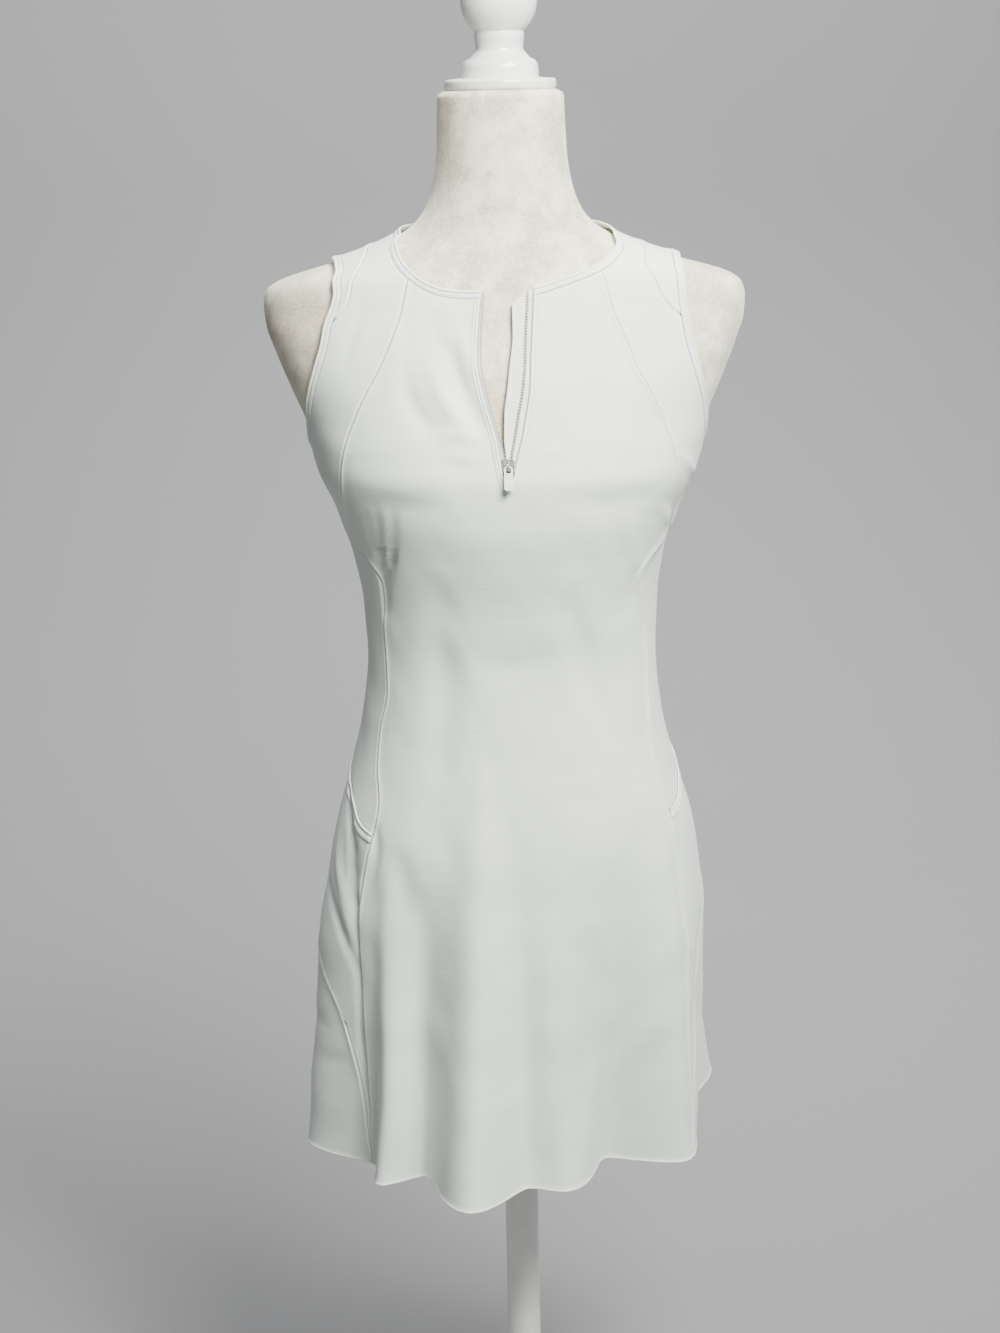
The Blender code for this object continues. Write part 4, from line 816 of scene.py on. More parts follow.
# Points on an edge and between its rows, close enough to measure from.
def filled(edge):
    spots = dressPoint(edge[:, 0], edge[:, 1])
    share = np.linspace(0.0, 1.0, 4, endpoint=False)[:, None, None]
    between = spots[:-1] * (1 - share) + spots[1:] * share
    return np.concatenate([between.reshape(-1, 3), spots[-1:]])


# How far each point lies from the nearest of some edges.
def edgeDistances(points, edges):
    spots = np.concatenate([filled(edge) for edge in edges])
    found = []
    for part in np.array_split(points.reshape(-1, 3), 60):
        found.append(np.sqrt(((part[:, None] - spots[None]) ** 2).sum(-1).min(1)))
    return np.concatenate(found).reshape(points.shape[:-1])


# Wraps a node's output, so that shader arithmetic reads as a formula.
class Value:
    def __init__(self, tree, socket):
        self.tree = tree
        self.socket = socket

    # One Math node; a term is another value or a number.
    def calculate(self, operation, *terms):
        node = self.tree.nodes.new("ShaderNodeMath")
        node.operation = operation
        for entry, term in zip(node.inputs, terms):
            if isinstance(term, Value):
                self.tree.links.new(term.socket, entry)
            else:
                entry.default_value = term
        return Value(self.tree, node.outputs[0])

    # Arithmetic with another value or a number
    def __add__(self, other):
        return self.calculate("ADD", self, other)

    def __radd__(self, other):
        return self.calculate("ADD", other, self)

    def __sub__(self, other):
        return self.calculate("SUBTRACT", self, other)

    def __rsub__(self, other):
        return self.calculate("SUBTRACT", other, self)

    def __mul__(self, other):
        return self.calculate("MULTIPLY", self, other)

    def __truediv__(self, other):
        return self.calculate("DIVIDE", self, other)

    def sine(self):
        return self.calculate("SINE", self)

    def remainder(self, size):
        return self.calculate("FLOORED_MODULO", self, size)

    def absolute(self):
        return self.calculate("ABSOLUTE", self)

    # 1 near a middle, falling to 0 at a reach from it
    def band(self, middle, reach):
        return self.calculate("MAXIMUM", 1.0 - (self - middle).absolute() / reach, 0.0)

    # 0 below the first value and 1 above the second
    def ramp(self, low, high):
        risen = self.calculate("MAXIMUM", (self - low) / (high - low), 0.0)
        return self.calculate("MINIMUM", risen, 1.0)


# A finish is one Principled shader and the nodes that feed it.
class Finish:
    def __init__(self, name, slot, **constants):
        self.made = bpy.data.materials.new(name)
        self.made.use_nodes = True
        self.slot = slot
        self.tree = self.made.node_tree
        self.shader = self.tree.nodes["Principled BSDF"]
        for socket, value in constants.items():
            self.shader.inputs[socket.replace("_", " ")].default_value = value

    # Any other node, with its settings and with values or constants at its sockets
    def node(self, kind, settings=None, sockets=None):
        node = self.tree.nodes.new(kind)
        for key, value in (settings or {}).items():
            setattr(node, key, value)
        for key, value in (sockets or {}).items():
            if isinstance(value, Value):
                self.tree.links.new(value.socket, node.inputs[key])
            else:
                node.inputs[key].default_value = value
        return node

    # The place on the object, scaled
    def place(self, *scale):
        spot = Value(self.tree, self.node("ShaderNodeTexCoord").outputs["Object"])
        mapped = self.node("ShaderNodeMapping", sockets={"Vector": spot, "Scale": scale})
        return Value(self.tree, mapped.outputs[0])

    # Noise with so many cells a metre along X, Y and Z
    def noise(self, scale, detail=3.0, roughness=0.5):
        place = self.place(*scale)
        sockets = {"Vector": place, "Scale": 1.0, "Detail": detail, "Roughness": roughness}
        made = self.node("ShaderNodeTexNoise", {"noise_dimensions": "3D"}, sockets)
        return Value(self.tree, made.outputs[0])

    # A value stored on the mesh
    def attribute(self, name):
        made = self.node("ShaderNodeAttribute", {"attribute_name": name})
        return Value(self.tree, made.outputs["Fac"])

    # X, Y or Z on the object, in metres
    def coordinate(self, axis):
        parts = self.node("ShaderNodeSeparateXYZ", sockets={"Vector": self.place(1.0, 1.0, 1.0)})
        return Value(self.tree, parts.outputs[axis])

    # The first colour where the share is 0 and the last where it is 1
    def mix(self, share, first, last):
        node = self.node("ShaderNodeMix", {"data_type": "RGBA"}, {"Factor": share})
        for index, colour in ((6, first), (7, last)):
            if isinstance(colour, Value):
                self.tree.links.new(colour.socket, node.inputs[index])
            else:
                node.inputs[index].default_value = (*colour, 1.0)
        return Value(self.tree, node.outputs[2])

    # A normal from a height in metres
    def bump(self, height, distance, strength):
        sockets = {"Height": height, "Distance": distance, "Strength": strength}
        return Value(self.tree, self.node("ShaderNodeBump", sockets=sockets).outputs[0])

    # Links values to the shader's sockets
    def feed(self, **values):
        for socket, value in values.items():
            self.tree.links.new(value.socket, self.shader.inputs[socket.replace("_", " ")])
        return self


# Places of each band of stitches, measured from a panel's edge
stitch = {
    "pitch": 0.0027,
    "length": 0.62,  # as a share of the pitch
    "reach": 0.00045,
    "zip": 0.0043,
    "binding": 0.0064,
}


# 1 on the threads of a line of stitches and 0 elsewhere.
def stitches(across, run, middle):
    thread = (run.remainder(stitch["pitch"]) / stitch["pitch"] - 0.5).absolute()
    half = stitch["length"] / 2
    return across.band(middle, stitch["reach"]) * (1.0 - thread.ramp(half, half + 0.1))


# Colours in linear light; a pair is a darker and a lighter shade that noise mixes
trimColours = {
    "tape": ((0.74, 0.75, 0.69), (0.83, 0.84, 0.78)),
    # painted shade along both edges of the tape
    "tapeEdge": (0.13, 0.13, 0.12),
    "teeth": ((0.34, 0.345, 0.33), (0.46, 0.465, 0.45)),
    "guard": ((0.72, 0.72, 0.67), (0.79, 0.79, 0.74)),
    "chrome": ((0.56, 0.56, 0.56), (0.80, 0.80, 0.79)),
    "tab": ((0.74, 0.74, 0.70), (0.83, 0.83, 0.79)),
}
formColours = {
    "cover": ((0.48, 0.440, 0.320), (0.75, 0.725, 0.565)),
    "warm": (0.58, 0.44, 0.36),
    "nap": (0.81, 0.795, 0.660),
    "fleck": (0.30, 0.23, 0.17),
    "lacquer": ((0.78, 0.775, 0.75), (0.86, 0.86, 0.845)),
}
clothColours = {
    "light": (0.765, 0.840, 0.770),
    "shade": (0.700, 0.772, 0.710),
    # painted shade, laid in the seams, in the grooves of the bindings and beside the zip, and along
    # the guard's edges
    "seam": (0.36, 0.39, 0.37),
    # pale tone of the bindings' knit, and the painted highlight on the panels' ridges, zip edge and
    # hem
    "piping": (0.86, 0.89, 0.84),
}


# A finish for cloth, with a sheen.
def clothLike(name, slot, roughness, sheen, spread):
    look = {"Roughness": roughness, "Sheen_Weight": sheen, "Sheen_Roughness": spread}
    return Finish(name, slot, **look)


# Smooth double knit: faint level streaks, a fine grain and the low relief of its loops.
def knit(finish):
    streaks = finish.noise((24.0, 24.0, 620.0), 3.0, 0.62)
    broad = finish.noise((7.0, 7.0, 46.0), 2.0)
    grain = finish.noise((1500.0, 1500.0, 1500.0), 2.0, 0.6)
    relief = streaks * 0.00016 + grain * 0.00010
    return streaks, broad, grain, relief


# The panels: painted shade in the seams, along the bound edges and in two grooves beside the zip;
# painted highlights on the ridges beside the seams, on the zip's folded edge and along the hem; and
# a line of stitches beside the zip.
def clothFinish():
    finish = clothLike("whiteKnit", "dress_cloth", 0.72, 0.18, 0.45)
    streaks, broad, grain, relief = knit(finish)
    tone = (streaks * 0.5 + broad * 0.35 + grain * 0.15).ramp(0.32, 0.66)
    weave = finish.mix(tone, clothColours["shade"], clothColours["light"])
    edge = finish.attribute("edgeDistance")
    # painted shade along the seams and the bound edges
    paintedShade = edge.band(0.0, 0.0008) * 0.45
    zipSide = finish.attribute("zipDistance")
    run = finish.attribute("zipRun")
    thread = stitches(zipSide, run, stitch["zip"])
    # painted shade in the two grooves beside the zip's folded edge, kept off the threads
    groove = zipSide.band(0.0032, 0.0006) + zipSide.band(0.0060, 0.0009) * 0.5
    paintedShade = paintedShade + groove * (1.0 - thread) * 0.35
    # painted highlights: along the hem, on the ridge beside each seam and on the roll of the zip's
    # folded edge
    hem = finish.coordinate("Z").band(dress["hem"], 0.0026)
    ridge = edge.band(dress["ridgeReach"], 0.0012) * 0.7
    paintedHighlight = ridge + zipSide.band(0.0015, 0.0014) * 0.8 + hem
    lit = finish.mix(paintedHighlight.ramp(0.0, 1.0), weave, clothColours["piping"])
    colour = finish.mix(paintedShade, lit, clothColours["seam"])
    raised = relief + thread * 0.00015
    normal = finish.bump(raised, 1.0, 0.9)
    return finish.feed(Base_Color=colour, Roughness=0.66 + streaks * 0.14, Normal=normal)


# The folded edges: a plain roll, a groove, and a flat band with one line of stitches, with painted
# shade in the groove and in the trough along the stitches.
def bindingFinish():
    finish = clothLike("bindingKnit", "binding_cloth", 0.68, 0.15, 0.45)
    streaks, broad, grain, relief = knit(finish)
    across = finish.attribute("across")
    run = finish.attribute("run")
    line = finish.attribute("stitchLine")
    groove = finish.attribute("grooveLine")
    thread = stitches(across - line + stitch["binding"], run, stitch["binding"])
    tone = (streaks * 0.6 + broad * 0.4).ramp(0.35, 0.65)
    weave = finish.mix(tone, clothColours["shade"], clothColours["piping"])
    # painted shade in the groove and, between the threads, in the trough along the stitch line
    grooveShade = (across - groove).absolute().band(0.0, 0.0006)
    trough = (across - line).absolute().band(0.0, 0.0009)
    paintedShade = grooveShade * 0.35 + trough * (1.0 - thread) * 0.16
    colour = finish.mix(paintedShade, weave, clothColours["seam"])
    normal = finish.bump(relief + thread * 0.00025 - trough * 0.0001, 1.0, 0.9)
    return finish.feed(Base_Color=colour, Roughness=0.62 + streaks * 0.14, Normal=normal)


# Close twill tape, with painted shade along both of its edges, beside the teeth and beside the
# panel.
def tapeFinish():
    finish = Finish("zipTape", "dress_cloth", Roughness=0.7, Sheen_Weight=0.1)
    rib = (finish.coordinate("Z") * (2 * math.pi / 0.0011)).sine()
    grain = finish.noise((900.0, 900.0, 900.0), 2.0)
    edge = finish.attribute("edgeDistance")
    plain = finish.mix(grain.ramp(0.3, 0.7), *trimColours["tape"])
    # painted shade along both edges of the tape
    colour = finish.mix(edge.band(0.0, 0.0016) * 0.9, plain, trimColours["tapeEdge"])
    normal = finish.bump(rib * 0.00005 + grain * 0.0001, 1.0, 0.8)
    return finish.feed(Base_Color=colour, Normal=normal)


# Moulded teeth, slightly mottled.
def toothFinish():
    finish = Finish("zipTeeth", "dress_cloth", Roughness=0.38, Coat_Weight=0.15)
    grain = finish.noise((700.0, 700.0, 700.0), 2.0)
    colour = finish.mix(grain.ramp(0.3, 0.7), *trimColours["teeth"])
    return finish.feed(Base_Color=colour, Normal=finish.bump(grain * 0.00006, 1.0, 0.6))


# The guard's knit, with painted shadow along both of its edges.
def guardFinish():
    finish = Finish("zipGuard", "dress_cloth", Roughness=0.75, Sheen_Weight=0.12)
    streaks, broad, grain, relief = knit(finish)
    edge = finish.attribute("edgeDistance")
    weave = finish.mix(streaks.ramp(0.35, 0.65), *trimColours["guard"])
    # painted shadow along the guard's edges
    colour = finish.mix(edge.band(0.0, 0.0012) * 0.2, weave, clothColours["seam"])
    return finish.feed(Base_Color=colour, Normal=finish.bump(relief, 1.0, 0.9))


# Brushed cover of the form: a short nap, mottled warm and grey, with dark flecks.
def coverFinish():
    finish = clothLike("formCover", "form_cover", 0.88, 0.35, 0.5)
    cloudy = finish.noise((26.0, 26.0, 26.0), 5.0, 0.62)
    pink = finish.noise((61.0, 61.0, 48.0), 4.0, 0.6)
    nap = finish.noise((520.0, 520.0, 520.0), 3.0, 0.65)
    flecks = finish.noise((310.0, 310.0, 260.0), 2.0, 0.7)
    base = finish.mix(cloudy.ramp(0.42, 0.58), *formColours["cover"])
    warm = finish.mix(pink.ramp(0.46, 0.66) * 0.65, base, formColours["warm"])
    worn = finish.mix(nap.ramp(0.44, 0.62) * 0.5, warm, formColours["nap"])
    colour = finish.mix(flecks.ramp(0.60, 0.72) * 0.4, worn, formColours["fleck"])
    normal = finish.bump(nap * 0.0005 + cloudy * 0.0006, 1.0, 0.7)
    return finish.feed(Base_Color=colour, Roughness=0.82 + nap * 0.12, Normal=normal)


# Sprayed gloss lacquer over wood, very slightly uneven.
def lacquerFinish():
    coat = {"Coat_Weight": 0.6, "Coat_Roughness": 0.08}
    finish = Finish("glossLacquer", "form_gloss", Roughness=0.2, **coat)
    peel = finish.noise((190.0, 190.0, 190.0), 2.0)
    wear = finish.noise((18.0, 18.0, 26.0), 4.0, 0.6)
    colour = finish.mix(wear.ramp(0.4, 0.68), *formColours["lacquer"])
    normal = finish.bump(peel * 0.0003 + wear * 0.0005, 1.0, 0.35)
    return finish.feed(Base_Color=colour, Roughness=0.16 + wear * 0.16, Normal=normal)


# Bright metal, brushed and slightly worn.
def chromeFinish():
    finish = Finish("brightChrome", "zip_metal", Metallic=1.0, Roughness=0.18)
    wear = finish.noise((420.0, 420.0, 420.0), 3.0)
    brushed = finish.noise((1800.0, 1800.0, 300.0), 2.0)
    colour = finish.mix(wear.ramp(0.35, 0.7), *trimColours["chrome"])
    normal = finish.bump(brushed * 0.00004, 1.0, 0.5)
    return finish.feed(Base_Color=colour, Roughness=0.14 + wear * 0.18, Normal=normal)


# Milky moulded plastic.
def tabFinish():
    finish = Finish("milkyTab", "zip_tab", Roughness=0.3, Coat_Weight=0.4, Subsurface_Weight=0.25)
    finish.shader.inputs["Subsurface Scale"].default_value = 0.002
    grain = finish.noise((160.0, 160.0, 160.0), 3.0)
    fine = finish.noise((1400.0, 1400.0, 1400.0), 2.0)
    colour = finish.mix(grain.ramp(0.35, 0.65), *trimColours["tab"])
    normal = finish.bump(fine * 0.00005, 1.0, 0.6)
    return finish.feed(Base_Color=colour, Roughness=0.26 + grain * 0.12, Normal=normal)


# Puts grids of points and their values into one mesh, its rows running down and its faces
# outwards, and welds the rows and columns that meet.
def gridMesh(name, sheets, weld=0.00001):
    points = []
    faces = []
    values = {key: [] for key in sheets[0][1]}
    start = 0
    for spots, fields in sheets:
        rows, columns = spots.shape[:2]
        index = start + np.arange(rows * columns).reshape(rows, columns)
        corners = [index[:-1, :-1], index[1:, :-1], index[1:, 1:], index[:-1, 1:]]
        faces.append(np.stack(corners, axis=-1).reshape(-1, 4))
        points.append(spots.reshape(-1, 3))
        for key, field in fields.items():
            values[key].append(np.broadcast_to(field, (rows, columns)).ravel())
        start += rows * columns
    points = np.concatenate(points)
    faces = np.concatenate(faces)
    mesh = bpy.data.meshes.new(name)
    mesh.vertices.add(len(points))
    mesh.vertices.foreach_set("co", points.ravel())
    mesh.loops.add(faces.size)
    mesh.loops.foreach_set("vertex_index", faces.ravel())
    mesh.polygons.add(len(faces))
    mesh.polygons.foreach_set("loop_start", np.arange(0, faces.size, 4))
    mesh.update(calc_edges=True)
    for key, parts in values.items():
        layer = mesh.attributes.new(key, "FLOAT", "POINT")
        layer.data.foreach_set("value", np.concatenate(parts).astype(np.float32))
    joined = bmesh.new()
    joined.from_mesh(mesh)
    bmesh.ops.remove_doubles(joined, verts=joined.verts, dist=weld)
    joined.to_mesh(mesh)
    joined.free()
    mesh.shade_smooth()
    return mesh


# A visible piece on the dress's body, in its finish, in place of its solids.
def addPiece(name, mesh, finish, nodes=()):
    piece = bpy.data.objects.new(name, mesh)
    bpy.context.scene.collection.objects.link(piece)
    mesh.materials.append(finish.made)
    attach(piece, "dress_and_form")
    if nodes:
        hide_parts(*nodes)
    return piece


# Gives a sheet its wall, inwards from its outside.
def thicken(piece, wall):
    solid = piece.modifiers.new("wall", "SOLIDIFY")
    solid.thickness = wall
    solid.offset = -1.0
    return piece


# Cloth area in square metres, from the triangles of its mesh.
def clothArea(mesh):
    mesh.calc_loop_triangles()
    corners = np.empty(len(mesh.loop_triangles) * 3, np.int32)
    mesh.loop_triangles.foreach_get("vertices", corners)
    points = np.empty(len(mesh.vertices) * 3, np.float32)
    mesh.vertices.foreach_get("co", points)
    a, b, c = np.moveaxis(points.reshape(-1, 3)[corners.reshape(-1, 3)], 1, 0)
    return float(np.linalg.norm(np.cross(b - a, c - a), axis=1).sum() / 2)


# Whether a grid's faces look outwards: down crossed with rightwards, against the normals.
def looksOut(grid):
    points = dressPoint(grid[..., 0], grid[..., 1])
    normals = dressNormal(grid[..., 0], grid[..., 1])
    downward = points[1:, :-1] - points[:-1, :-1]
    rightward = points[:-1, 1:] - points[:-1, :-1]
    return np.sum(np.cross(downward, rightward) * normals[:-1, :-1]) > 0


# A sheet with its columns turned round where its faces would look inwards.
def outwardSheet(grid, points, values):
    if looksOut(grid):
        return points, values
    return points[:, ::-1], {key: value[:, ::-1] for key, value in values.items()}


# A panel's outside: the worn cloth, dipped along its sewn and bound edges, with a low
# ridge beside a sewn one, and folded over along the free edges beside the zip.
def panelSheet(grid, sewn, bound, free, ridge, hemRoll=False):
    grid = grid if looksOut(grid) else grid[:, ::-1]
    points, normals = wornPoint(grid[..., 0], grid[..., 1])
    smooth = dressPoint(grid[..., 0], grid[..., 1])
    apart = edgeDistances(smooth, sewn)
    fromBound = edgeDistances(smooth, bound)
    out = -dress["seamDepth"] * np.exp(-((apart / dress["seamReach"]) ** 2))
    out += ridge * dress["seamRidge"] * np.exp(-(((apart - dress["ridgeReach"]) / 0.0009) ** 2))
    out -= dress["boundDepth"] * np.exp(-((fromBound / dress["seamReach"]) ** 2))
    values = {
        "edgeDistance": np.minimum(apart, fromBound + 0.0003),
        "zipDistance": np.full(apart.shape, 1.0),
        "zipRun": grid[..., 1],
    }
    if free is not None:
        values["zipDistance"] = edgeDistances(smooth, [free])
        out += np.interp(values["zipDistance"], zipFold["across"], zipFold["out"])
    if hemRoll:
        low = grid[..., 1] - dress["hem"]
        out += 0.0008 * np.exp(-(((low - 0.0009) / 0.0010) ** 2))
    return points + out[..., None] * normals, values


panelCuts = {
    # name: width and length of the flat cut in metres, how it is held
    "frontPanel": (0.52, 0.86, "hung"),
    "backPanel": (0.66, 0.90, "hung"),
    "frontSide": (0.115, 0.36, "stretched"),
    "side": (0.16, 0.28, "stretched"),
    "skirtSide": (0.17, 0.36, "hung"),
    "neckBinding": (0.0105, 0.31, "stretched"),
    "armholeBinding": (0.0105, 0.52, "stretched"),
    "pocketBinding": (0.0105, 0.17, "stretched"),
    "zipTape": (0.0105, 0.15, "laid"),
    "zipGuard": (0.0170, 0.16, "laid"),
}


# A finished cloth piece: its mesh, wall, finish, body and cut. What shows of it is at
# least 0.3 of its flat cut and at most all of it.
def clothPiece(name, kind, sheets, finish, node, wall):
    mesh = gridMesh(name, sheets)
    piece = thicken(addPiece(name, mesh, finish, [node]), wall)
    width, length, held = panelCuts[kind]
    area = min(max(clothArea(mesh), 0.3 * width * length), width * length)
    print(f"{name}: {len(mesh.polygons)} faces, {area:.4f} m2 shows")


# The front, in two halves that meet at the middle below the zip.
def frontSheets(sides):
    allHeights, zipRow = frontHeights(sides)
    sheets = []
    for side, heights in zip(sides, allHeights):
        outer = frontOuter(side)
        crown = neckLine(side.neckFront, dress["panelInset"])
        inner = np.stack([zipEdge(side.zipColumn, heights), heights], axis=1)
        inner[: zipRow + 1] = halfGap(inner[: zipRow + 1], (side.sign * 40.0, 1.15))
        inner[zipRow:] = np.stack([np.zeros(len(heights) - zipRow), heights[zipRow:]], axis=1)
        inner[0, 1] = crown[0, 1]
        crown[0] = inner[0]
        crown[-1] = outer[0]
        grid = ruled(inner, outer, steps["front"], crown, zipFold["across"])
        grid = closeRows(grid, (0.15, 0.32, 0.55), (0.15, 0.35, 0.6))
        sheets.append(panelSheet(grid, [outer], [crown], inner[: zipRow + 1], 1.0, True))
    return sheets


# The back, in two halves that meet at its middle; each starts at the armhole, follows the
# shoulder seam and the neck, and then runs down.
def backSheets(sides):
    outers = [backOuter(side) for side in sides]
    underArm = steps["arm"] - steps["foot"]
    neckEnd = steps["shoulder"] + steps["neckBack"]
    necks = [neckLine(side.neckBehind, dress["panelInset"]) for side in sides]
    top = (necks[0][-1, 1] + necks[1][-1, 1]) / 2
    level = (outers[0][:, 1] + outers[1][:, 1]) / 2
    upper = np.linspace(top, level[underArm], underArm - neckEnd + 1)
    heights = np.concatenate([upper, level[underArm + 1:]])
    sheets = []
    for side, outer, neck in zip(sides, outers, necks):
        shoulder = halfGap(side.shoulder, side.armMiddle)
        middle = np.stack([np.full_like(heights, side.sign * 180.0), heights], axis=1)
        inner = np.concatenate([shoulder, neck[1:-1], middle])
        grid = closeRows(ruled(inner, outer, steps["back"]), (), (0.15, 0.35, 0.6))
        sewn = [outer[underArm:], shoulder]
        bound = [outer[: underArm + 1], neck]
        sheets.append(panelSheet(grid, sewn, bound, None, 0.9, True))
    return sheets


# From the neck's end of the shoulder seam, over the shoulder and down to the side panel's tip.
def frontSideSheet(side):
    middle = (side.sign * 60.0, 1.15)
    outer = halfGap(side.shoulderAndArm(), middle)
    neck = neckLine(side.neckShoulder, dress["panelInset"])[::-1]
    inner = np.concatenate([neck[:-1], halfGap(side.princess, middle)])
    inner[0] = outer[0]
    tip = insideCorner(side.princess[::-1], side.sideSeam()[::-1], dress["seamGap"] / 2)
    inner[-1] = outer[-1] = tip
    grid = ruled(inner, outer, steps["armhole"])
    over = steps["shoulder"]
    under = over + steps["foot"]
    neckRows = steps["neckShoulder"]
    sewn = [outer[: over + 1], outer[under:], inner[neckRows:]]
    return panelSheet(grid, sewn, [outer[over + 1:under], inner[:neckRows]], None, 0.2)


# From its tip down to the pocket's mouth; the mouth is the grid's first row.
def sideSheet(side):
    middle = (side.sign * 86.0, 0.90)
    front = halfGap(side.sideFront, middle)
    behind = halfGap(side.sideBack, middle)
    front[0] = behind[0] = insideCorner(side.sideFront, side.sideBack, dress["seamGap"] / 2)
    foot = beside(pocketMouth(side, 0.0), dress["seamGap"], middle)
    foot[0, 0] = front[-1, 0]
    foot[-1, 0] = behind[-1, 0]
    front[-1] = foot[0]
    behind[-1] = foot[-1]
    grid = ruled(front[::-1], behind[::-1], steps["pocket"], foot)
    grid = closeRows(grid, (0.12, 0.28, 0.5))
    return panelSheet(grid, [front, behind], [foot], None, 0.2)


# From under the pocket's binding down to the hem.
def skirtSideSheet(side):
    middle = (side.sign * 84.0, 0.72)
    front = halfGap(side.lowFront, middle)
    behind = halfGap(side.lowBack, middle)
    crown = pocketMouth(side, dress["pocketBindingWidth"] + dress["seamGap"])
    crown[0, 0] = seamTurn(side, "low_front", crown[0, 1], middle)
    crown[-1, 0] = seamTurn(side, "low_back", crown[-1, 1], middle)
    front[0] = crown[0]
    behind[0] = crown[-1]
    grid = closeRows(ruled(front, behind, steps["pocket"], crown), (0.12, 0.28, 0.5))
    return panelSheet(grid, [front, behind], [crown], None, 0.2)


# Bindings: how far out each distance across them stands
bindingProfile = {
    "across": (0.0, 0.0003, 0.0009, 0.0016, 0.0022, 0.0027, 0.0030, 0.0034,
               0.0040, 0.0049, 0.0057, 0.0061, 0.0064, 0.0067, 0.0070, 0.0072),
    "out": (0.0002, 0.0007, 0.0011, 0.0012, 0.0010, 0.0006, 0.0001, 0.0004,
            0.0006, 0.0006, 0.0005, 0.0003, 0.0002, 0.0003, 0.0001, -0.0002),
    "groove": 0.0030,
    "stitch": 0.0064,
}
pocketProfile = {
    "across": (0.0, 0.0004, 0.0011, 0.0018, 0.0024, 0.0028, 0.0032, 0.0038,
               0.0048, 0.0059, 0.0068, 0.0075, 0.0079, 0.0083, 0.0087, 0.0090),
    "out": (0.0003, 0.0010, 0.0013, 0.0013, 0.0009, 0.0005, 0.0001, 0.0004,
            0.0007, 0.0007, 0.0007, 0.0004, 0.0003, 0.0005, 0.0004, -0.0001),
    "groove": 0.0032,
    "stitch": 0.0079,
}


# A band from its rows at each distance across, raised by its profile.
def bandSheet(lines, profile, closed=False):
    grid = np.stack(lines, axis=1)
    if closed:
        grid = np.concatenate([grid, grid[:1]])
    across = np.broadcast_to(np.array(profile["across"]), grid.shape[:2])
    raised = np.broadcast_to(np.array(profile["out"]), grid.shape[:2])
    points, normals = wornPoint(grid[..., 0], grid[..., 1])
    length = np.linalg.norm(np.diff(points[:, 0], axis=0), axis=-1)
    run = np.concatenate([[0.0], np.cumsum(length)])[:, None]
    pucker = 0.00012 * np.sin(run * 2 * math.pi / 0.013) * np.sin(run * 2 * math.pi / 0.031 + 1.0)
    points = points + (raised + pucker)[..., None] * normals
    values = {
        "across": across,
        "run": np.broadcast_to(run, across.shape),
        "stitchLine": np.full(across.shape, profile["stitch"]),
        "grooveLine": np.full(across.shape, profile["groove"]),
    }
    return outwardSheet(grid, points, values)


# From the zip along the neck's edge to the centre back.
def neckBindingSheet(side):
    stations = np.concatenate([side.neckFront, side.neckShoulder[1:], side.neckBehind[1:]])
    stations[0] += side.sign * halfGapTurn(stations[0])
    stations[-1] -= side.sign * halfGapTurn(stations[-1])
    lines = [neckLine(stations, drop) for drop in bindingProfile["across"]]
    for line in lines:
        line[0, 0] = zipEdge(side.zipColumn, line[0, 1]) + side.sign * halfGapTurn(stations[0])
    return bandSheet(lines, bindingProfile)


# Once round the armhole.
def armholeBindingSheet(side):
    lines = [side.armStrip(distance) for distance in bindingProfile["across"]]
    return bandSheet(lines, bindingProfile, True)


# Along the pocket's mouth, between the front seam and the back one.
def pocketBindingSheet(side):
    middle = (side.sign * 86.0, 0.78)
    lines = [pocketMouth(side, down) for down in pocketProfile["across"]]
    for line in lines:
        line[0, 0] = seamTurn(side, "low_front", line[0, 1], middle)
        line[-1, 0] = seamTurn(side, "low_back", line[-1, 1], middle)
    return bandSheet(lines, pocketProfile)


# The zip
zipper = {
    "sliderHeight": 1.0935,
    "sliderLength": 0.0105,
    "guardLean": 0.0115,
    "tapeOut": 0.0001,
    "guardOut": -0.0006,
    "wall": 0.0008,
    "toothPitch": 0.0025,
    "toothTop": 1.2335,
    "toothAcross": 0.0021,
    "toothTall": 0.0012,
    "toothOut": 0.0011,
    "piping": 0.0009,
}
stripColumns = 22


# A strip between two columns of the zip's edges, with a profile of its distance across.
# Its first edge may start lower, by lean.
def zipStripSheet(first, last, heights, profile, out, lean=0.0):
    pairs = zip(heights[:-1], heights[1:])
    dense = [np.linspace(above, below, 3, endpoint=False) for above, below in pairs]
    heights = np.concatenate([*dense, heights[-1:]])
    lowered = heights - lean * np.linspace(1.0, 0.0, len(heights))
    edges = []
    for column, levels, aim in ((first, lowered, 90.0), (last, heights, -90.0)):
        path = np.stack([zipEdge(column, levels), levels], axis=1)
        edges.append(halfGap(path, (aim, 1.15)))
    share = np.linspace(0.0, 1.0, stripColumns)[None, :, None]
    grid = edges[0][:, None] * (1 - share) + edges[1][:, None] * share
    points, normals = wornPoint(grid[..., 0], grid[..., 1])
    width = np.linalg.norm(points[:, -1] - points[:, 0], axis=-1)[:, None]
    across = width * share[..., 0]
    points = points + (out + profile(across, width))[..., None] * normals
    values = {
        "edgeDistance": np.minimum(across, width - across),
        "zipDistance": np.full(across.shape, 1.0),
        "zipRun": grid[..., 1],
    }
    return outwardSheet(grid, points, values)


# Two cords under the right tape's face, side by side near the panel.
def pipedTape(across, width):
    ridge = np.zeros(across.shape)
    for place in (0.30, 0.62):
        away = (across - place * width) / (0.13 * width + 0.0001)
        ridge += zipper["piping"] * np.exp(-(away**2))
    return ridge


# One low swell near the panel.
def plainTape(across, width):
    return 0.0004 * np.exp(-(((across - 0.7 * width) / (0.2 * width + 0.0001)) ** 2))


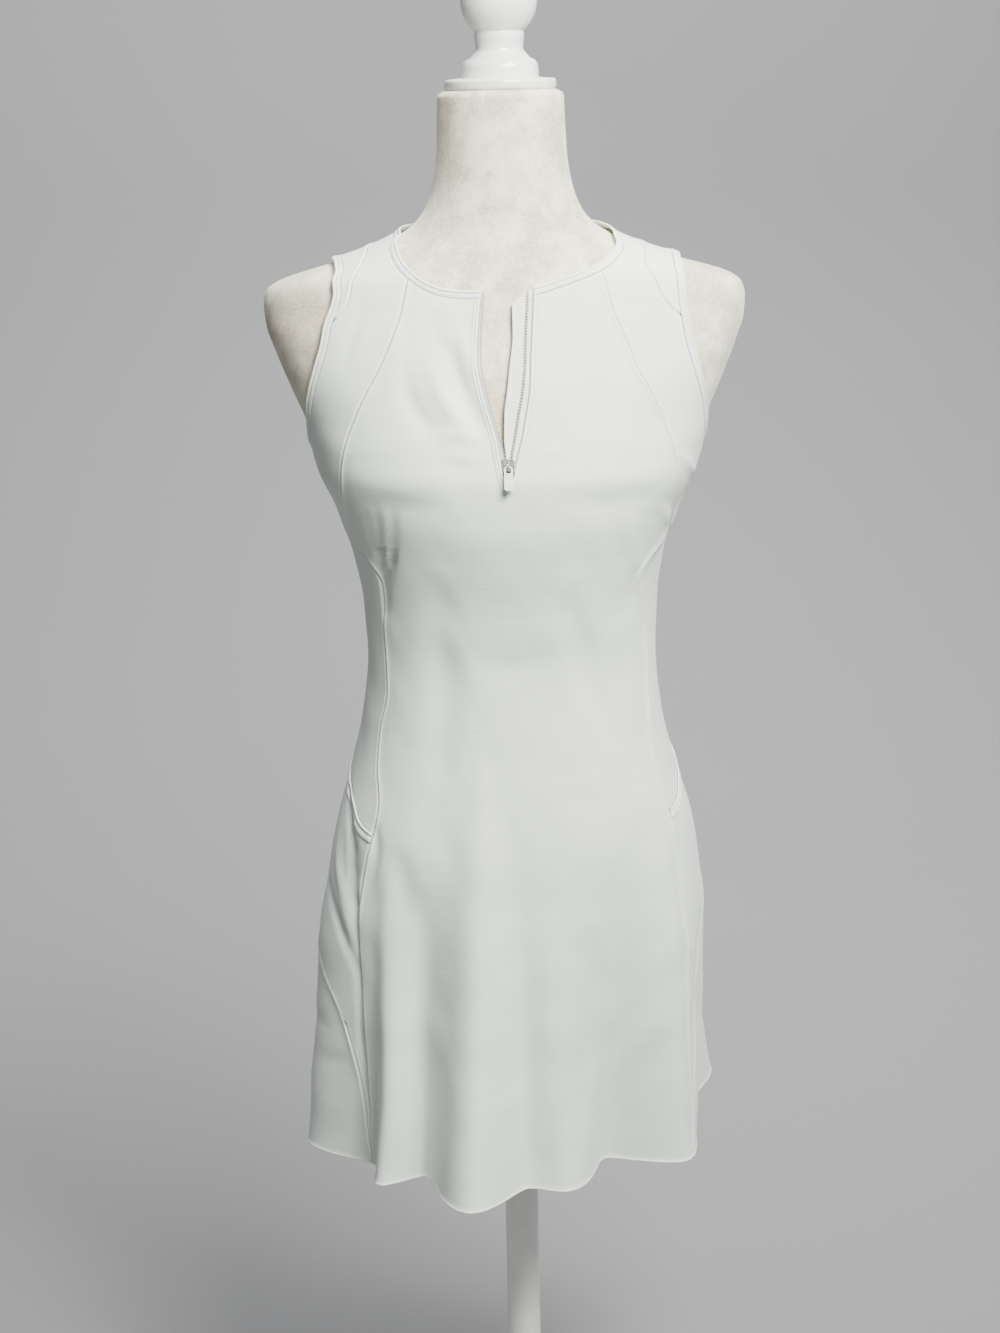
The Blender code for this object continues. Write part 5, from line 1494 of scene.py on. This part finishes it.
# The guard is flat, with a rolled left edge.
def rolledGuard(across, width):
    return 0.0008 * np.exp(-(((across - 0.0012) / 0.0011) ** 2))


# One chamfered tooth: across, up and out, on three outlines of four corners.
def toothShape():
    corners = np.array([(-0.5, -0.5), (0.5, -0.5), (0.5, 0.5), (-0.5, 0.5)])
    rings = []
    for size, depth in ((1.0, 0.0), (1.0, 0.62), (0.66, 1.0)):
        rings.append(np.column_stack([corners * size, np.full(4, depth)]))
    points = np.concatenate(rings)
    points *= (zipper["toothAcross"], zipper["toothTall"], zipper["toothOut"])
    faces = [(3, 2, 1, 0), (8, 9, 10, 11)]
    for base in (0, 4):
        for corner in range(4):
            after = (corner + 1) % 4
            faces.append((base + corner, base + after, base + 4 + after, base + 4 + corner))
    return points, np.array(faces)


# Copies of the tooth along a tape's edge, each in the frame of the cloth under it.
def teethMesh(name, column, low, high, shift):
    levels = np.linspace(low, high, 400)
    path = dressPoint(zipEdge(column, levels), levels)
    length = np.concatenate([[0.0], np.cumsum(np.linalg.norm(np.diff(path, axis=0), axis=1))])
    stops = np.arange(zipper["toothPitch"] * (0.5 + shift), length[-1], zipper["toothPitch"])
    heights = np.interp(stops, length, levels)
    around = zipEdge(column, heights)
    points, normals = wornPoint(around, heights)
    higher = heights + 0.001
    upward = unit(dressPoint(zipEdge(column, higher), higher) - dressPoint(around, heights))
    across = np.cross(upward, normals)
    shape, faces = toothShape()
    basis = np.stack([across, upward, normals], axis=1)
    sunk = points[:, None] + (zipper["tapeOut"] - 0.0003) * normals[:, None]
    spots = sunk + np.einsum("kc,ncd->nkd", shape, basis)
    index = (np.arange(len(points))[:, None, None] * len(shape) + faces[None]).reshape(-1, 4)
    mesh = bpy.data.meshes.new(name)
    mesh.from_pydata(spots.reshape(-1, 3).tolist(), [], index.tolist())
    mesh.update()
    return mesh


# A short close bar of stitches across the top of the right tape
barTack = {"around": 15.2, "height": 1.2285, "width": 0.0052, "tall": 0.0016, "rise": 0.0007}


# A low half round, waved by its 13 stitches and closed at both ends.
def barTackMesh():
    around = barTack["around"]
    height = barTack["height"]
    point, normal = wornPoint(np.array(around), np.array(height))
    upward = unit(dressPoint(around, height + 0.001) - dressPoint(around, height))
    across = np.cross(upward, normal)
    u, v = np.meshgrid(np.linspace(-0.5, 0.5, 41), np.linspace(-0.5, 0.5, 9))
    rise = barTack["rise"] * np.sqrt(np.clip(1 - (2 * v) ** 2, 0.0, 1.0))
    rise *= 0.8 + 0.2 * np.cos(u * 2 * math.pi * 13)
    rise *= np.clip((0.5 - np.abs(u)) / 0.05, 0.0, 1.0)
    spots = point + u[..., None] * barTack["width"] * across
    spots = spots - v[..., None] * barTack["tall"] * upward + (rise + 0.0002)[..., None] * normal
    return gridMesh("barTack", [(spots, {"run": u})])


# The form
form = {
    "neckTop": 1.400,
    "torsoBottom": 0.655,
    "rows": 260,
    "columns": 220,
    "rounding": 0.006,
    "turnSteps": 96,
}
cap = {
    "ballRadius": 0.033,
    "ballHeight": 0.074,
    "stemRadius": 0.0215,
    "domeRadius": 0.0335,
    "plateRadius": 0.0485,
}
stand = {
    "poleRadius": 0.016,
    "bossRadius": 0.030,
    "bossHeight": 0.008,
    "baseRadius": 0.165,
    "baseThickness": 0.012,
}


# The bare form: its smooth sections, closed by flat discs with rounded rims.
def torsoMesh():
    heights = np.linspace(form["torsoBottom"], form["neckTop"], form["rows"])
    around = np.linspace(-180.0, 180.0, form["columns"] + 1)
    a, h = np.meshgrid(around, heights)
    points = figurePoint(a, h)
    edge = np.minimum(h - form["torsoBottom"], form["neckTop"] - h)
    inside = np.clip(edge / form["rounding"], 0, 1)
    inset = form["rounding"] * (1 - np.sqrt(np.clip(1 - (1 - inside) ** 2, 0, 1)))
    radius = np.linalg.norm(points[..., :2], axis=-1, keepdims=True)
    points[..., :2] *= (radius - inset[..., None]) / radius
    discs = []
    for row, order in ((points[0], 1), (points[-1], -1)):
        shares = np.linspace(0.0, 1.0, 12)[:, None, None]
        disc = row[None] * np.concatenate([shares, shares, np.ones_like(shares)], axis=-1)
        discs.append(disc[::order])
    rings = np.concatenate([discs[0][:-1], points, discs[1][1:]])[::-1]
    return gridMesh("formTorso", [(rings, {"edgeDistance": np.ones(rings.shape[:2])})], 0.0001)


# A profile of (radius, height) from the axis down the outside and back to the axis, turned
# once round Z.
def turnedMesh(name, profile):
    profile = np.array(profile)
    turn = np.linspace(0.0, 2 * math.pi, form["turnSteps"] + 1)
    ring = np.stack([np.sin(turn), -np.cos(turn)], axis=-1)
    level = np.broadcast_to(profile[:, None, 1:], (len(profile), len(ring), 1))
    points = np.concatenate([profile[:, None, :1] * ring[None], level], axis=-1)
    mesh = gridMesh(name, [(points, {"edgeDistance": np.ones(points.shape[:2])})], 0.00002)
    mesh.set_sharp_from_angle(angle=math.radians(50))
    return mesh


# Points of (radius, height) on a circle about a place, from one angle to another.
def arc(radius, height, size, start, stop, count):
    turns = np.radians(np.linspace(start, stop, count))
    return [(radius + size * math.cos(turn), height + size * math.sin(turn)) for turn in turns]


# A ball on a waisted stem, over a dome and a plate.
def capProfile():
    foot = form["neckTop"] + dress["seamGap"]
    middle = foot + cap["ballHeight"]
    ball = arc(0.0, middle, cap["ballRadius"], 90.0, -50.0, 40)
    ball[0] = (0.0, middle + cap["ballRadius"])
    stem = cap["stemRadius"]
    knots = np.array([
        # how far down the waist, radius, height
        (0.0, ball[-1][0], ball[-1][1]),
        (0.3, stem, foot + 0.0435),
        (0.5, stem - 0.001, foot + 0.036),
        (1.0, stem + 0.003, foot + 0.0285),
    ])
    waist = curveThrough(knots, np.linspace(0.0, 1.0, 14))[1:]
    rim = cap["domeRadius"]
    dome = arc(rim - 0.009, foot + 0.0175, 0.009, 78.0, 0.0, 12) + [(rim, foot + 0.0105)]
    plate = arc(cap["plateRadius"] - 0.003, foot + 0.0062, 0.003, 90.0, 0.0, 9)
    plate += arc(cap["plateRadius"] - 0.003, foot + 0.0030, 0.003, 0.0, -90.0, 9) + [(0.0, foot)]
    return ball + [tuple(row) for row in waist] + dome + plate


# A straight tube between the base's boss and the torso, with rounded edges.
def poleProfile():
    low = stand["baseThickness"] + stand["bossHeight"] + dress["seamGap"]
    high = form["torsoBottom"] - dress["seamGap"]
    edge = 0.001
    radius = stand["poleRadius"]
    profile = [(0.0, high)] + arc(radius - edge, high - edge, edge, 90.0, 0.0, 5)
    profile += [(radius, height) for height in np.linspace(high - 0.02, low + 0.02, 24)]
    return profile + arc(radius - edge, low + edge, edge, 0.0, -90.0, 5) + [(0.0, low)]


# A round plate with a low boss at its middle.
def baseProfile():
    top = stand["baseThickness"]
    edge = 0.004
    boss = stand["bossRadius"]
    profile = [(0.0, top + stand["bossHeight"])]
    profile += arc(boss - 0.003, top + stand["bossHeight"] - 0.003, 0.003, 90.0, 0.0, 8)
    profile += [(boss + 0.0006, top + 0.0016), (boss + 0.0020, top)]
    rim = stand["baseRadius"]
    profile += [(radius, top) for radius in np.linspace(boss + 0.01, rim - 0.01, 12)]
    profile += arc(rim - edge, top - edge, edge, 90.0, 0.0, 9)
    return profile + [(rim, 0.0015), (rim - 0.0015, 0.0), (0.0, 0.0)]


# Everything in its place
sides = [Side("left"), Side("right")]
cloth = clothFinish()
binding = bindingFinish()
clothPiece("frontPanel", "frontPanel", frontSheets(sides), cloth, "front_center", dress["wall"])
clothPiece("backPanel", "backPanel", backSheets(sides), cloth, "back", dress["wall"])
paired = (
    # kind, what makes its sheet, finish, wall, node
    ("frontSide", frontSideSheet, cloth, "wall", "front_side"),
    ("side", sideSheet, cloth, "wall", "side"),
    ("skirtSide", skirtSideSheet, cloth, "wall", "skirt_side"),
    ("neckBinding", neckBindingSheet, binding, "bindingWall", "neck_binding"),
    ("armholeBinding", armholeBindingSheet, binding, "bindingWall", "armhole_binding"),
    ("pocketBinding", pocketBindingSheet, binding, "bindingWall", "pocket_binding"),
)
for side in sides:
    for kind, makeSheet, finish, wall, node in paired:
        name = kind + side.name.capitalize()
        clothPiece(name, kind, [makeSheet(side)], finish, f"{node}_{side.name}", dress[wall])
print("cloth made")

low = zipper["sliderHeight"] - zipper["sliderLength"] / 2
high = zipper["sliderHeight"] + zipper["sliderLength"] / 2
allHeights, zipRow = frontHeights(sides)
tapes = []
for heights in allHeights:
    rows = heights[:zipRow]
    rows = rows[(rows > low + 0.001) & (rows < dress["zipTop"])]
    tapes.append(np.concatenate([[dress["zipTop"]], rows, [low]]))
tape = tapeFinish()
leftTape = zipStripSheet(1, 3, tapes[0], plainTape, zipper["tapeOut"])
clothPiece("zipTapeLeft", "zipTape", [leftTape], tape, "zip_tape_left", zipper["wall"])
rightTape = zipStripSheet(4, 2, tapes[1], pipedTape, zipper["tapeOut"])
clothPiece("zipTapeRight", "zipTape", [rightTape], tape, "zip_tape_right", zipper["wall"])
guardRows = np.concatenate([tapes[1][tapes[1] > high + 0.001], [high]])
guard = zipStripSheet(5, 4, guardRows, rolledGuard, zipper["guardOut"], zipper["guardLean"])
clothPiece("zipGuard", "zipGuard", [guard], guardFinish(), "zip_guard", zipper["wall"])
teeth = toothFinish()
for name, column, shift in (("zipTeethLeft", 3, 0.0), ("zipTeethRight", 4, 0.5)):
    addPiece(name, teethMesh(name, column, high, zipper["toothTop"], shift), teeth)
addPiece("barTack", barTackMesh(), teeth)
print("zip made")

addPiece("formTorso", torsoMesh(), coverFinish(), ["form_torso"])
lacquer = lacquerFinish()
addPiece("formCap", turnedMesh("formCap", capProfile()), lacquer, ["form_cap"])
addPiece("formPole", turnedMesh("formPole", poleProfile()), lacquer, ["form_pole"])
addPiece("formBase", turnedMesh("formBase", baseProfile()), lacquer, ["form_base"])
for node, finish in (("zip_slider", chromeFinish()), ("zip_pull", tabFinish())):
    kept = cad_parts[node]
    kept.data.materials.clear()
    kept.data.materials.append(finish.made)
print("form made")

# The room: a pale sheet that runs along the floor and up behind, soft light and camera
room = {
    "halfWidth": 5.0,
    "front": -7.0,
    "back": 3.2,
    "bend": 1.2,
    "top": 5.0,
    "grey": (0.392, 0.394, 0.402),
    "floorGrey": (0.235, 0.237, 0.242),
    "paling": (0.3, 2.0),  # where along Y the floor's grey turns to the wall's
    "world": (0.79, 0.81, 0.84),
    "worldStrength": 0.20,
}
camera = {
    "spot": (-0.0105, -2.04, 1.40),
    "down": 14.07,  # in degrees, as is the roll
    "roll": -1.2,
    "lens": 2300 / 1333 * 36,  # in millimetres, for a sensor 36 mm tall
}
lights = (
    # name, place, what it looks at, size, power, colour
    ("key", (0.85, -1.10, 2.60), (0.0, -0.1, 1.15), 0.7, 90.0, (1.0, 0.995, 0.935)),
    ("chest", (0.35, -1.00, 1.95), (0.0, -0.1, 1.20), 0.45, 40.0, (1.0, 0.995, 0.935)),
    ("fill", (-1.7, -1.8, 1.2), (0.0, 0.0, 0.80), 1.2, 2.0, (0.96, 0.98, 1.0)),
    ("back", (0.6, 2.2, 2.6), (0.0, 0.0, 0.95), 1.8, 30.0, (1.0, 1.0, 1.0)),
    ("wall", (0.0, 0.6, 3.4), (0.0, 3.2, 0.9), 1.6, 105.0, (1.0, 1.0, 1.0)),
)


# A level sheet that bends up into a wall through a quarter circle.
def roomMesh():
    turn = np.radians(np.linspace(0.0, 90.0, 24))
    bendY = room["back"] - room["bend"] + room["bend"] * np.sin(turn)
    bendZ = room["bend"] * (1 - np.cos(turn))
    y = np.concatenate([[room["front"], 0.0], bendY, [room["back"]]])
    z = np.concatenate([[0.0, 0.0], bendZ, [room["top"]]])
    x = np.linspace(-room["halfWidth"], room["halfWidth"], 3)
    points = np.stack(np.broadcast_arrays(x[None], y[:, None], z[:, None]), axis=-1)
    return gridMesh("backdrop", [(points[::-1], {"edgeDistance": np.ones(points.shape[:2])})])


# Paper, darker along the floor and lighter up the wall. Its back doesn't show, so that a
# camera behind the wall sees the dress.
def paperFinish():
    paper = Finish("backdropPaper", "form_cover", Roughness=0.9)
    mottle = paper.noise((3.0, 3.0, 3.0), 2.0)
    behind = Value(paper.tree, paper.node("ShaderNodeNewGeometry").outputs["Backfacing"])
    wall = paper.mix(mottle, tuple(0.97 * part for part in room["grey"]), room["grey"])
    colour = paper.mix(paper.coordinate("Y").ramp(*room["paling"]), room["floorGrey"], wall)
    return paper.feed(Base_Color=colour, Alpha=1.0 - behind)


paper = paperFinish()
backdrop = bpy.data.objects.new("backdrop", roomMesh())
backdrop.data.materials.append(paper.made)
bpy.context.scene.collection.objects.link(backdrop)

world = bpy.data.worlds.new("studio")
world.use_nodes = True
background = world.node_tree.nodes["Background"]
background.inputs["Color"].default_value = (*room["world"], 1.0)
background.inputs["Strength"].default_value = room["worldStrength"]
bpy.context.scene.world = world

for name, spot, aim, size, power, colour in lights:
    data = bpy.data.lights.new(name, "AREA")
    data.energy = power
    data.size = size
    data.color = colour
    lamp = bpy.data.objects.new(name, data)
    away = np.array(spot) - aim
    lamp.location = spot
    level = math.hypot(away[0], away[1])
    lamp.rotation_euler = (math.atan2(level, away[2]), 0.0, math.atan2(away[0], -away[1]))
    bpy.context.scene.collection.objects.link(lamp)

lens = bpy.data.cameras.new("camera")
lens.sensor_fit = "VERTICAL"
lens.sensor_height = 36.0
lens.lens = camera["lens"]
lens.dof.use_dof = False
viewer = bpy.data.objects.new("camera", lens)
turns = ((90.0 - camera["down"], "X"), (camera["roll"], "Z"))
pitch, roll = (mathutils.Matrix.Rotation(math.radians(turn), 4, axis) for turn, axis in turns)
viewer.matrix_world = mathutils.Matrix.Translation(camera["spot"]) @ pitch @ roll
bpy.context.scene.collection.objects.link(viewer)
bpy.context.scene.camera = viewer
print("room made")

bpy.context.view_layer.update()
